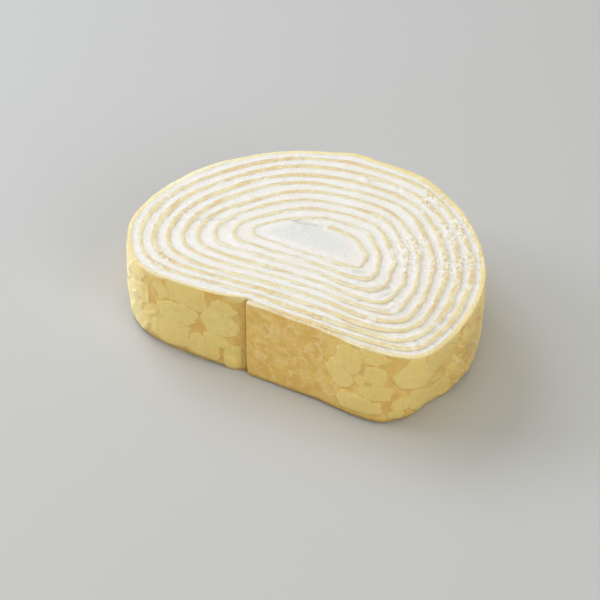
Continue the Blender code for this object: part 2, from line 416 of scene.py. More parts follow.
    def stray(self, turn: np.ndarray) -> np.ndarray:
        """How far the coil strays outwards from its even line, in mm, at turn counts."""
        turn = np.asarray(turn, float)
        run = along_coil(turn)
        inner = 1.0 - smooth_step(turn, *self.inner_ends)
        pushed = (humps(turn, self.corners) + 0.5 * humps(turn + 1.0, self.corners)
                  + humps(turn, self.kinks))
        right = (inner * smooth_step(turn, *self.waver_from)
                 * humps_round_the_turn(turn % 1.0, self.waver_side))
        waver = self.waver * right * (lumps(run, 3.6, 6) + 0.6 * lumps(run, 1.9, 7))
        return (pushed + waver
                + self.wobble * inner * (lumps(run, 16.0, 3) + 0.6 * lumps(run, 6.0, 4)))

    def place(self, turn: np.ndarray, level: np.ndarray, side: np.ndarray) -> np.ndarray:
        """A plan position about the slice's middle.

        Args:
            turn: turn counts.
            level: height in the slice, from 0 to 1.
            side: distance outwards from the middle of the crepe, in mm.

        Returns:
            One plan position for each turn count, in mm.
        """
        away = np.asarray(side, float) + self.stray(turn) + self.stand_out(turn, level)
        return (self.line(turn, level) + away[..., None] * self.normal(turn, level)
                - np.asarray(self.middle))

    def turns_at(self, first: float, last: float, step: float) -> np.ndarray:
        """Turn counts an even distance apart along the crepe.

        Args:
            first: the turn count to start at.
            last: the turn count to end at.
            step: distance between neighbours along the coil, in mm.

        Returns:
            The turn counts, first and last included.
        """
        turns = np.linspace(first, last, 12000)
        run = self.run_of(turns)
        count = max(int(round(run[-1] / step)), 2)
        return np.interp(np.linspace(0.0, run[-1], count + 1), run, turns)

    def run_of(self, turns: np.ndarray, side: float = 0.0) -> np.ndarray:
        """Distance along the coil from the first of some turn counts.

        Args:
            turns: rising turn counts.
            side: distance outwards from the middle of the crepe, in mm.

        Returns:
            One distance for each turn count, in mm.
        """
        half_way = np.full_like(turns, 0.5)
        away = side + self.stand_out(turns, half_way)
        line = self.line(turns, half_way) + away[:, None] * self.normal(turns, half_way)
        return np.concatenate([[0.0], np.cumsum(np.linalg.norm(np.diff(line, axis=0), axis=1))])


# ------------------------------------------------------------------ what lies unevenly
@dataclass(frozen=True)
class Patch:
    """A round patch of the cut face, in plan."""

    x: float
    y: float
    reach: float
    amount: float = 1.0

    def share(self, plan: np.ndarray) -> np.ndarray:
        """How much of the patch there is at each plan position, from 0 to the amount."""
        away = np.hypot(plan[:, 0] - self.x, plan[:, 1] - self.y)
        return self.amount * (1.0 - smooth_step(away, 0.4 * self.reach, self.reach))


def patched(plan: np.ndarray, patches: Iterable[Patch]) -> np.ndarray:
    """The strongest of some patches at each plan position.

    Args:
        plan: plan positions, in mm.
        patches: the patches.

    Returns:
        One value for each position.
    """
    return np.max([patch.share(plan) for patch in patches], axis=0)


@dataclass(frozen=True)
class Fold:
    """A crease or ridge between two places of a face, in mm."""

    start: tuple[float, float]
    end: tuple[float, float]
    height: float
    width: float

    def rise(self, places: np.ndarray) -> np.ndarray:
        """How far the fold lifts each place, in mm."""
        first, last = np.array(self.start), np.array(self.end)
        run = last - first
        share = np.clip((places - first) @ run / (run @ run), 0.0, 1.0)
        away = np.linalg.norm(places - (first + share[:, None] * run), axis=1)
        fade = 1.0 - np.abs(2.0 * share - 1.0) ** 3
        return self.height * fade * np.exp(-(away / self.width) ** 2)


@dataclass(frozen=True)
class CutFace:
    """How the knife left the cut: what stands proud, what is smeared, torn or toasted."""

    height: float = 26.0
    cream_drop: float = 0.22
    right_drop: float = 0.46          # the cream has sunk further on the right
    lower_lift: float = 0.16          # the cream's lower face stays clear of the table
    smears: tuple[Patch, ...] = (
        Patch(9.2, 7.1, 1.7), Patch(10.8, 5.8, 1.6), Patch(6.9, -8.9, 1.7, 0.8),
        Patch(20.7, 2.3, 1.7), Patch(30.2, -17.0, 1.9), Patch(31.3, -19.4, 1.6),
        Patch(31.6, 17.2, 2.3), Patch(31.8, 20.6, 1.7, 0.8), Patch(25.6, 18.8, 1.8),
        Patch(19.7, 20.6, 1.4, 0.7), Patch(21.3, 29.6, 1.6, 0.7), Patch(0.3, 26.1, 1.5, 0.7),
        Patch(43.2, -19.0, 1.4, 0.6), Patch(26.8, 0.6, 1.4, 0.8), Patch(-4.3, -31.8, 1.5, 0.8),
        Patch(27.4, -25.2, 1.7, 0.7), Patch(-24.0, 13.5, 1.2, 0.5), Patch(-34.8, 6.5, 1.3, 0.5))
    torn: tuple[Patch, ...] = (
        Patch(20.0, 27.0, 6.5, 0.9), Patch(31.5, 18.0, 7.5), Patch(24.0, 7.2, 6.5, 0.9),
        Patch(35.5, 4.0, 7.5, 0.9), Patch(26.0, -1.0, 5.0, 0.8), Patch(0.3, 26.2, 3.0, 0.7),
        Patch(40.5, 9.0, 6.5, 0.9), Patch(10.6, 26.7, 4.0, 0.6), Patch(43.5, -1.0, 4.5, 0.6),
        Patch(-43.1, -6.9, 3.0, 0.5), Patch(-36.0, -9.5, 4.0, 0.5), Patch(-30.5, -31.0, 5.0, 0.45),
        Patch(-35.5, -26.5, 4.0, 0.4), Patch(-17.5, -31.0, 4.0, 0.4), Patch(35.5, -31.0, 5.0, 0.5),
        Patch(43.0, -28.5, 4.0, 0.5), Patch(12.0, 11.0, 5.0, 0.4), Patch(-22.0, 23.0, 5.0, 0.35))
    creases: tuple[Fold, ...] = (     # in the cream
        Fold((-37.6, -14.0), (-20.4, -4.0), -0.30, 0.36),
        Fold((-9.6, 0.8), (-0.6, 2.8), -0.45, 0.6), Fold((-3.8, 3.3), (1.6, 4.4), 0.35, 0.4),
        Fold((12.6, -15.4), (16.4, -15.0), 0.35, 0.4),
        Fold((14.4, -10.2), (18.6, -8.4), -0.32, 0.5),
        Fold((20.6, -15.4), (24.0, -11.0), -0.34, 0.5),
        Fold((17.4, -12.2), (20.4, -9.0), -0.30, 0.5),
        Fold((24.8, -16.4), (28.6, -11.4), -0.30, 0.5),
        Fold((28.4, -20.6), (32.0, -15.6), -0.30, 0.5),
        Fold((20.4, -20.4), (24.4, -17.4), -0.28, 0.5))
    toasted: tuple[Patch, ...] = (
        Patch(-29.5, 19.5, 9.0, 1.0), Patch(-31.0, -31.0, 7.0, 1.0), Patch(-37.0, -10.0, 6.0, 0.6),
        Patch(-20.0, 20.0, 9.0, 0.8), Patch(-8.0, 27.0, 8.0, 0.7), Patch(8.0, 21.0, 8.0, 0.6),
        # The patch at (16.3, -5.6) is tan cut edge with painted shade on the innermost turn's thick
        # corner.
        Patch(-11.0, 10.5, 7.0, 0.6), Patch(16.3, -5.6, 3.5, 0.8), Patch(19.3, 4.2, 2.6, 0.4),
        Patch(38.0, -14.0, 9.0, 0.6), Patch(33.0, 8.0, 7.0, 0.6), Patch(14.0, -31.0, 7.0, 0.5),
        Patch(2.0, 7.0, 6.0, 0.5), Patch(-18.0, -30.5, 5.0, 0.5), Patch(5.0, -34.5, 4.5, 0.9),
        Patch(12.0, -34.5, 4.5), Patch(19.0, -34.5, 4.0, 0.9))
    heart_middle: tuple[float, float] = (0.0, -2.6)
    heart_reach: tuple[float, float] = (13.0, 5.5)
    heart_swell: float = 0.08         # how much less the heart has sunk
    sinks_from: Span = (4.0, 40.0)    # from the middle towards the right
    dragged: tuple[float, float, float] = (24.0, -11.0, 15.0)   # middle and reach
    drag: float = 0.42                # how far the knife has dragged the cream up there
    knife_turned: tuple[float, float] = (0.94, 0.34)            # cosine and sine of its marks

    def smear(self, plan: np.ndarray) -> np.ndarray:
        """How far cream is drawn over the crepe's edge, from 0 to 1, in plan."""
        ragged = 0.35 * lumps(plan, 0.9, 16)
        return np.clip(1.7 * patched(plan, self.smears) * (1.0 + ragged), 0.0, 1.0)

    def sunk(self, plan: np.ndarray) -> np.ndarray:
        """How far the cream lies below the crepe's edge at plan positions, in mm."""
        away = (plan - np.array(self.heart_middle)) / np.array(self.heart_reach)
        heart = 1.0 - smooth_step(np.hypot(away[:, 0], away[:, 1]), 0.5, 1.0)
        right = smooth_step(plan[:, 0] - 0.35 * plan[:, 1], *self.sinks_from)
        return self.cream_drop + self.right_drop * right - self.heart_swell * heart

    def film(self, plan: np.ndarray, turn: np.ndarray) -> np.ndarray:
        """How much of the crepe's edge hides under a thin film of cream.

        Args:
            plan: plan positions, in mm.
            turn: turn counts.

        Returns:
            One share for each position, from 0 to 1.
        """
        run = along_coil(turn)
        flat = round_the_turn(turn % 1.0, 0.52, 0.22) * (1.0 - smooth_step(turn, 7.6, 8.3))
        drawn = lumps(run, 6.0, 14) + 0.7 * lumps(run, 1.9, 15)
        inner = 1.0 - smooth_step(turn, 1.5, 6.0)
        thin = 0.02 + 0.16 * flat + 0.16 * inner + (0.20 + 0.34 * flat) * drawn
        crumbs = patched(plan, self.torn) * smooth_step(pebbles(plan, 1.3, 17), 0.50, 0.66)
        return np.clip(np.max([thin, 0.9 * crumbs, 0.95 * self.smear(plan)], axis=0), 0.0, 1.0)

    def crepe_upper(self, plan: np.ndarray, across: np.ndarray) -> np.ndarray:
        """Height of the crepe's upper edge.

        Args:
            plan: plan positions, in mm.
            across: place across the edge, from -1 to 1.

        Returns:
            One height for each position, in mm.
        """
        torn = patched(plan, self.torn)
        grain = ((0.07 + 0.20 * torn) * lumps(plan, 1.2, 11)
                 + (0.05 + 0.12 * torn) * lumps(plan, 0.7, 12))
        swell = 0.12 * lumps(plan, 6.0, 13)
        shoulder = 0.10 * np.abs(across) ** 3
        top = self.height - 0.06 + grain + swell - shoulder - 0.05 * self.smear(plan)
        return np.minimum(top, self.height)

    def creased(self, plan: np.ndarray) -> np.ndarray:
        """How far the creases lift the cream at plan positions, in mm."""
        return sum(crease.rise(plan) for crease in self.creases)

    def cream_upper(self, plan: np.ndarray, clear: np.ndarray) -> np.ndarray:
        """Height of the cream's upper face.

        Args:
            plan: plan positions, in mm.
            clear: distance from the nearest turn of crepe, in mm.

        Returns:
            One height for each position, in mm.
        """
        torn = patched(plan, self.torn)
        drop = self.sunk(plan)
        drift = 0.10 * lumps(plan, 9.0, 21) + 0.12 * lumps(plan, 3.0, 22)
        cosine, sine = self.knife_turned
        turned = np.column_stack([plan[:, 0] * cosine + plan[:, 1] * sine,
                                  plan[:, 1] * cosine - plan[:, 0] * sine])
        flat = 1.0 - smooth_step(plan[:, 1] - 0.25 * np.abs(plan[:, 0]), -22.0, -8.0)
        x, y, reach = self.dragged
        dragged = hump(np.hypot(plan[:, 0] - x, plan[:, 1] - y), 0.0, reach)
        marks = (0.09 * lumps(turned / np.array([5.0, 0.9]), 1.0, 23)
                 + 0.20 * flat * lumps(plan / np.array([6.0, 0.8]), 1.0, 28)
                 + self.drag * dragged * lumps(turned[:, ::-1] / np.array([1.1, 3.2]), 1.0, 29))
        crumb = torn * (0.32 * (pebbles(plan, 1.3, 24) - 0.5) + 0.14 * lumps(plan, 1.0, 25))
        climb = (0.35 + 0.30 * lumps(plan, 4.0, 26)) * np.exp(-(clear / 0.7) ** 2)
        top = self.height - drop * (1.0 - climb) + drift + marks + crumb + self.creased(plan)
        top = top + self.smear(plan) * (0.4 * drop + 0.06 * lumps(plan, 1.2, 27))
        return np.minimum(top, self.height + 0.05)


@dataclass(frozen=True)
class Outline:
    """A line drawn on the wall through a few places along it and up it, in mm."""

    places: tuple[tuple[float, float], ...]
    closed: bool = True

    def away(self, where: np.ndarray) -> np.ndarray:
        """Distance of each place from the line, in mm."""
        ends = self.places[1:] + (self.places[:1] if self.closed else ())
        nearest = np.full(len(where), np.inf)
        for start, end in zip(self.places, ends):
            first = np.array(start)
            run = np.array(end) - first
            share = np.clip((where - first) @ run / (run @ run), 0.0, 1.0)
            gap = where - first - share[:, None] * run
            nearest = np.minimum(nearest, np.hypot(gap[:, 0], gap[:, 1]))
        return nearest

    def inside(self, where: np.ndarray) -> np.ndarray:
        """Distance of each place inside the closed line, in mm, below 0 outside it."""
        x, y = where[:, 0], where[:, 1]
        odd = np.zeros(len(where), bool)
        for (x0, y0), (x1, y1) in zip(self.places, self.places[1:] + self.places[:1]):
            if y0 != y1:
                odd ^= ((y0 > y) != (y1 > y)) & (x < x0 + (x1 - x0) * (y - y0) / (y1 - y0))
        return np.where(odd, 1.0, -1.0) * self.away(where)


@dataclass(frozen=True)
class BakedSide:
    """The pattern and relief of the crepe's outer side.

    Places are in mm along the wall from the seam, clockwise from above, and up it, and so
    are the spans and humps along it.
    """

    seed: int = 7
    swell: float = 0.75               # how far the blisters have spread into the net
    swells_less: Humps = ((237.0, 15.0, 0.35),)
    unseen: Span = (44.0, 192.0)      # the stretch at the back, whose blisters are drawn
    unseen_step: float = 7.4
    unseen_rows: tuple[float, ...] = (2.0, 9.2, 16.4, 23.6)
    unseen_corners: int = 7
    blisters: tuple[Outline, ...] = (
        # from the seam to the left end
        Outline(((0.4, 19.8), (1.9, 22.1), (4.2, 23.0), (6.2, 22.1), (6.5, 20.7), (2.5, 19.0))),
        Outline(((1.5, 17.1), (3.3, 18.8), (6.7, 20.1), (9.0, 17.5), (9.4, 16.0), (8.1, 12.8),
                 (2.5, 11.9), (0.5, 12.2), (0.1, 14.5))),
        Outline(((9.0, 24.8), (17.5, 26.5), (19.4, 24.8), (19.6, 22.0), (18.3, 20.0),
                 (16.7, 20.4), (12.5, 18.6), (10.0, 18.6), (8.6, 20.5))),
        Outline(((20.0, 21.5), (21.5, 23.7), (23.3, 23.4), (24.0, 21.5), (22.2, 20.3),
                 (21.8, 18.7), (20.0, 20.0))),
        Outline(((11.5, 16.5), (13.2, 17.8), (16.7, 18.4), (21.7, 16.9), (22.4, 15.4),
                 (22.6, 13.2), (21.3, 12.2), (16.3, 12.0), (14.4, 12.4), (12.4, 14.4))),
        Outline(((22.7, 14.0), (24.2, 14.6), (26.0, 13.1), (27.6, 11.0), (27.5, 9.7),
                 (24.6, 10.7))),
        Outline(((14.3, 10.9), (15.2, 11.7), (20.4, 11.1), (22.9, 11.9), (25.2, 8.6), (26.2, 4.4),
                 (21.3, 2.3), (15.4, 3.3), (13.3, 4.8), (14.3, 6.8))),
        Outline(((9.3, 8.7), (11.0, 9.6), (12.5, 8.6), (13.1, 3.2), (11.2, 2.3), (9.2, 3.0))),
        Outline(((1.7, 7.8), (2.9, 9.2), (4.8, 11.1), (7.1, 11.4), (8.8, 10.9), (9.0, 7.2),
                 (6.3, 6.9), (3.6, 7.4))),
        Outline(((-0.6, 7.6), (2.5, 7.7), (3.2, 5.0), (2.8, 1.2), (2.4, -1.0), (-0.6, -1.0))),
        Outline(((5.6, 5.7), (7.6, 5.9), (8.4, 4.0), (8.0, 1.7), (6.3, 1.4), (5.3, 3.2))),
        Outline(((26.3, 18.6), (27.9, 19.5), (29.8, 19.0), (30.1, 16.0), (29.2, 13.8),
                 (26.8, 14.4))),
        Outline(((30.5, 17.8), (34.2, 17.3), (35.4, 14.8), (34.0, 12.6), (31.6, 13.0))),
        Outline(((26.6, 8.0), (28.8, 8.8), (31.7, 6.5), (33.4, 3.2), (32.1, 0.5), (28.8, 3.6))),
        Outline(((27.0, 24.0), (31.0, 25.0), (34.0, 23.0), (33.0, 20.5), (29.0, 21.0))),
        Outline(((35.5, 23.5), (39.0, 25.5), (41.5, 20.0), (39.0, 14.5), (36.0, 17.5))),
        Outline(((30.0, 11.5), (33.5, 11.0), (36.0, 7.0), (34.5, 5.0), (31.0, 8.6))),
        Outline(((36.5, 12.5), (40.0, 12.0), (42.0, 5.0), (38.0, 0.5), (36.0, 5.5))),
        # from the right side to the right foot
        Outline(((214.2, 7.9), (215.9, 9.9), (221.4, 8.4), (223.4, 9.4), (228.2, 12.2),
                 (229.4, 9.6), (227.6, 4.9), (225.0, 3.2), (223.6, -1.0), (216.8, -1.0),
                 (214.2, 2.0))),
        Outline(((214.2, 23.8), (217.7, 24.9), (223.2, 25.4), (226.3, 24.2), (223.2, 19.2),
                 (222.0, 17.4), (217.7, 17.9), (215.9, 20.1))),
        Outline(((226.6, 23.3), (227.6, 26.0), (230.4, 25.0), (231.1, 22.4), (233.9, 18.4),
                 (232.3, 14.7), (225.0, 13.4), (222.6, 15.6), (225.0, 19.2))),
        Outline(((201.4, 17.4), (206.8, 20.8), (212.3, 22.4), (213.2, 19.7), (209.5, 15.6),
                 (202.3, 14.2))),
        Outline(((209.1, 12.9), (213.2, 14.2), (216.4, 12.4), (214.1, 9.7), (211.4, 8.8),
                 (208.8, 10.6))),
        Outline(((229.2, 8.8), (231.4, 10.1), (233.4, 9.0), (234.0, 6.6), (232.3, 5.2),
                 (229.6, 5.6))),
        Outline(((230.5, 3.8), (233.2, 4.6), (235.0, 3.6), (234.5, 2.0), (231.4, 1.5))),
        Outline(((236.3, 19.8), (238.2, 20.5), (240.7, 19.8), (241.3, 17.6), (240.7, 15.3),
                 (238.6, 14.1), (236.5, 15.0), (235.8, 17.4))),
        Outline(((235.0, 24.0), (237.8, 25.6), (242.6, 25.2), (241.7, 21.6), (238.4, 21.4))),
        Outline(((242.4, 21.9), (243.6, 24.2), (246.5, 24.6), (248.8, 23.2), (249.3, 18.6),
                 (247.3, 16.6), (244.0, 16.6), (242.8, 19.0))),
        Outline(((245.6, 15.3), (248.2, 17.2), (250.4, 18.2), (252.3, 15.4), (251.0, 12.6),
                 (248.4, 9.9), (246.5, 11.1), (245.2, 13.2))),
        Outline(((234.0, 13.6), (236.9, 13.9), (240.3, 13.2), (243.3, 11.2), (242.6, 9.4),
                 (240.3, 8.7), (235.3, 9.2))),
        Outline(((237.2, 6.9), (241.1, 8.1), (247.8, 8.3), (248.9, 5.6), (248.0, 2.8), (240.3, 2.6),
                 (236.8, 4.2))),
        Outline(((241.7, 15.7), (243.2, 16.2), (243.7, 13.6), (242.2, 12.8))),
        Outline(((196.0, 12.5), (201.0, 12.6), (203.0, 9.0), (199.0, 6.0), (194.0, 8.0))),
        Outline(((192.0, 22.5), (198.0, 24.0), (199.5, 19.0), (195.0, 15.0), (190.5, 18.0))),
        Outline(((202.0, 8.0), (207.0, 6.4), (208.0, 2.5), (203.0, 1.0), (200.0, 4.0))))
    traces: tuple[Outline, ...] = (   # pale rings on the flap
        Outline(((269.4, 19.0), (270.5, 20.9), (271.9, 20.5), (273.0, 18.6), (271.3, 16.7),
                 (269.8, 17.5))),
        Outline(((271.1, 9.4), (272.1, 10.9), (273.8, 10.5), (274.4, 9.0), (271.5, 8.2))),
        Outline(((258.2, 13.2), (259.8, 14.2), (261.9, 13.2), (262.3, 11.1), (261.1, 9.0),
                 (259.0, 10.3))),
        Outline(((250.5, 6.5), (251.9, 7.5), (253.6, 6.9), (253.8, 5.3), (252.0, 4.6),
                 (250.5, 5.0))),
        Outline(((253.8, 9.8), (254.8, 10.9), (255.8, 9.2), (254.6, 8.0))),
        Outline(((249.2, 10.3), (250.7, 11.1), (251.1, 9.4), (249.8, 8.6))),
        Outline(((262.2, 23.6), (264.8, 22.6), (265.6, 19.6), (263.2, 18.8), (261.0, 20.6))),
        Outline(((254.3, 16.2), (254.6, 20.0), (257.0, 21.4), (258.6, 18.6), (256.6, 15.6))))
    foot_lifts: tuple[tuple[float, float], ...] = (          # along the wall, and off the table
        (2.4, 0.0), (4.4, 1.0), (12.0, 1.1), (15.0, 1.8), (19.0, 1.9), (24.0, 1.3), (30.0, 0.4),
        (200.0, 0.4), (207.0, 1.7), (214.0, 0.1), (227.0, 0.1), (232.0, 0.7), (237.0, 0.7),
        (242.0, 1.3), (262.0, 1.0), (277.0, 0.4))
    deep: tuple[Patch, ...] = (       # where the net is well done
        Patch(235.4, 6.6, 2.6, 0.9), Patch(11.4, 12.6, 3.2, 0.7), Patch(7.6, 24.2, 3.4, 0.7),
        Patch(4.3, 4.0, 2.6, 0.6), Patch(235.3, 21.2, 2.6, 0.6), Patch(275.4, 21.0, 2.4, 0.5),
        Patch(231.0, 2.6, 3.4, 0.6), Patch(17.2, 19.3, 2.6, 0.5), Patch(213.0, 5.5, 3.0, 0.4),
        Patch(257.5, 23.5, 3.2, 0.5), Patch(0.6, 9.6, 2.2, 0.6))
    folds: tuple[Fold, ...] = (
        Fold((26.0, 19.0), (26.6, 13.2), 0.30, 0.42), Fold((22.8, 12.8), (28.4, 9.2), 0.28, 0.42),
        Fold((23.9, 9.8), (24.5, 5.2), 0.20, 0.42), Fold((26.8, 7.4), (32.4, -0.4), 0.30, 0.6),
        Fold((24.6, 22.9), (33.2, 21.4), 0.26, 0.45), Fold((30.4, 15.8), (35.4, 11.8), 0.28, 0.45),
        Fold((30.4, 12.6), (35.6, 6.4), 0.30, 0.5), Fold((33.0, 23.8), (37.4, 18.2), 0.26, 0.5),
        Fold((36.0, 18.0), (42.4, 5.6), 0.26, 0.8), Fold((34.4, 8.5), (41.4, -0.4), 0.24, 0.7),
        Fold((25.3, 21.8), (25.0, 17.2), -0.30, 0.45), Fold((29.0, 14.4), (33.6, 8.6), -0.26, 0.45),
        Fold((205.0, 12.0), (213.4, 20.4), -0.34, 0.5),
        Fold((207.5, 8.0), (216.5, 17.2), 0.34, 0.5),
        Fold((210.5, 6.2), (219.5, 14.6), -0.34, 0.45),
        Fold((213.4, 17.0), (217.4, 24.0), -0.36, 0.5),
        Fold((216.0, 10.4), (222.8, 12.6), 0.30, 0.45),
        Fold((199.8, 9.4), (206.0, 14.6), 0.42, 0.7), Fold((205.5, 3.6), (212.5, 9.6), 0.34, 0.5),
        Fold((212.6, 3.2), (214.4, 8.4), -0.36, 0.45),
        Fold((196.0, 13.0), (203.0, 22.0), -0.34, 0.8),
        Fold((219.6, 9.0), (224.4, 12.2), -0.28, 0.4), Fold((1.2, 4.5), (1.6, -3.0), 0.75, 1.5),
        Fold((275.8, 2.0), (276.6, -3.0), -0.4, 1.0),
        Fold((231.2, 24.0), (231.4, 21.8), -0.20, 0.4),
        Fold((226.6, 24.4), (223.0, 19.4), -0.18, 0.4))
    # where painted sheen lies on the wall's ends
    sheen_ends: Humps = ((39.0, 16.0, 1.0), (202.0, 14.0, 0.25))
    buckled_ends: Humps = ((35.0, 13.0, 1.0), (207.0, 16.0, 1.0))
    crinkled_right: Humps = ((209.0, 15.0, 0.9),)
    crinkled_left: Humps = ((36.0, 14.0, 0.35),)
    smoother: Humps = ((38.0, 12.0, 0.6),)
    rougher: Humps = ((210.0, 13.0, 1.3),)
    slant: tuple[float, float, float] = (0.75, 0.66, 0.3)    # cosine, sine and stretch

    def all_blisters(self) -> list[Outline]:
        """The blisters round the whole wall, with even-handed ones on its unseen stretch."""
        draw = np.random.default_rng(self.seed)
        every = list(self.blisters)
        count = self.unseen_corners
        turns = np.arange(count) / count * 2.0 * math.pi
        for along in np.arange(*self.unseen, self.unseen_step):
            for up in self.unseen_rows:
                middle = draw.uniform((along - 2.8, up - 2.2), (along + 2.8, up + 2.2))
                reach = draw.uniform((2.2, 1.8), (5.4, 4.2)) * draw.uniform(0.75, 1.15, (count, 1))
                round_it = np.column_stack([np.cos(turns), np.sin(turns)])
                every.append(Outline(tuple(map(tuple, middle + reach * round_it))))
        return every

    def warped(self, places: np.ndarray) -> np.ndarray:
        """The same places, shifted so that every outline comes out uneven."""
        coarse = np.column_stack([lumps(places, 4.0, 31), lumps(places, 4.0, 32)])
        fine = np.column_stack([lumps(places, 1.5, 33), lumps(places, 1.5, 34)])
        return places + 0.55 * coarse + 0.40 * fine

    def pattern(self, places: np.ndarray) -> tuple[np.ndarray, np.ndarray, np.ndarray]:
        """Read the pattern.

        Args:
            places: places along and up the wall, in mm.

        Returns:
            How far inside a blister each place lies, in mm; how pale that blister is, from
            -1 to 1; and how far from the nearest trace it lies, in mm.
        """
        warped = self.warped(places)
        draw = np.random.default_rng(self.seed + 1)
        first = np.full(len(places), -9.0)
        second = np.full(len(places), -9.0)
        tint = np.zeros(len(places))
        swell = self.swell - humps(places[:, 0], self.swells_less)
        for blister in self.all_blisters():
            reach = blister.inside(warped) + swell
            pale = draw.uniform(-1.0, 1.0)
            tint = np.where(reach > first, pale, tint)
            second = np.maximum(second, np.minimum(first, reach))
            first = np.maximum(first, reach)
        trace = np.min([trace.away(warped) for trace in self.traces], axis=0)
        return np.minimum(first, 0.5 * (first - second) - 0.03), tint, trace

    def foot_lift(self, along: np.ndarray) -> np.ndarray:
        """How far the wall's foot curls up off the table at places along it, in mm."""
        foot = np.column_stack([along, 0.0 * along])
        lift = np.interp(along, *zip(*self.foot_lifts))
        return np.maximum(lift + 0.25 * lumps(foot, 5.0, 38) + 0.14 * lumps(foot, 1.6, 39), 0.0)

    def painted_sheen(self, places: np.ndarray, outside: np.ndarray) -> np.ndarray:
        """How much painted sheen lies on the skin's ends, and painted highlight along its fold
        ridges, from 0 to 1.

        Args:
            places: places along and up the wall, in mm.
            outside: which points lie on the baked side.

        Returns:
            One share for each place.
        """
        # Painted sheen on the two ends and painted highlights along the fold ridges.
        end = humps(places[:, 0], self.sheen_ends)
        ridges = sum(np.clip(fold.rise(places), 0.0, 1.0) for fold in self.folds)
        pale = np.clip(0.8 * end + 0.8 * ridges * (places[:, 0] > 20.0), 0.0, 0.85)
        return np.where(outside, pale, 0.0)

    def crinkled_end(self, places: np.ndarray) -> np.ndarray:
        """How finely crinkled the skin is, from 0 to 1, which is most on the right end."""
        return (humps(places[:, 0], self.crinkled_right) * smooth_step(places[:, 1], 1.0, 6.0)
                + humps(places[:, 0], self.crinkled_left))

    def relief(self, places: np.ndarray, inside: np.ndarray, trace: np.ndarray) -> np.ndarray:
        """How far the skin stands out from the smooth wall.

        Args:
            places: places along and up the wall, in mm.
            inside: how far inside a blister each place lies, in mm.
            trace: how far from a trace each place lies, in mm.

        Returns:
            One distance for each place, in mm.
        """
        dents = 0.24 * lumps(places, 9.0, 35) + 0.12 * lumps(places, 3.0, 36)
        raised = 0.12 * smooth_step(inside, -0.2, 0.35) + 0.07 * np.exp(-(trace / 0.35) ** 2)
        folds = sum(fold.rise(places) for fold in self.folds)
        ends = (humps(places[:, 0], self.buckled_ends)
                + 0.3 * smooth_step(places[:, 0], 44.0, 60.0)
                * (1.0 - smooth_step(places[:, 0], 180.0, 196.0)))
        cosine, sine, stretch = self.slant
        slanted = np.column_stack([places[:, 0] * cosine - places[:, 1] * sine,
                                   (places[:, 1] * cosine + places[:, 0] * sine) * stretch])
        left = 1.0 - humps(places[:, 0], self.smoother)
        right = 1.0 + humps(places[:, 0], self.rougher)
        wrinkles = 0.38 * left * right * ends * lumps(slanted, 1.4, 37)
        wrinkles = wrinkles + 0.28 * self.crinkled_end(places) * lumps(slanted, 0.8, 40)
        return dents + raised + folds + wrinkles


# ------------------------------------------------------------------ finishes
Colour = tuple[float, float, float]


def linear(red: int, green: int, blue: int) -> Colour:
    """A colour as the eye sees it, from 0 to 255, in the shader's linear light."""
    def one(value: int) -> float:
        """One of the three parts."""
        share = value / 255.0
        return share / 12.92 if share <= 0.04045 else ((share + 0.055) / 1.055) ** 2.4
    return one(red), one(green), one(blue)


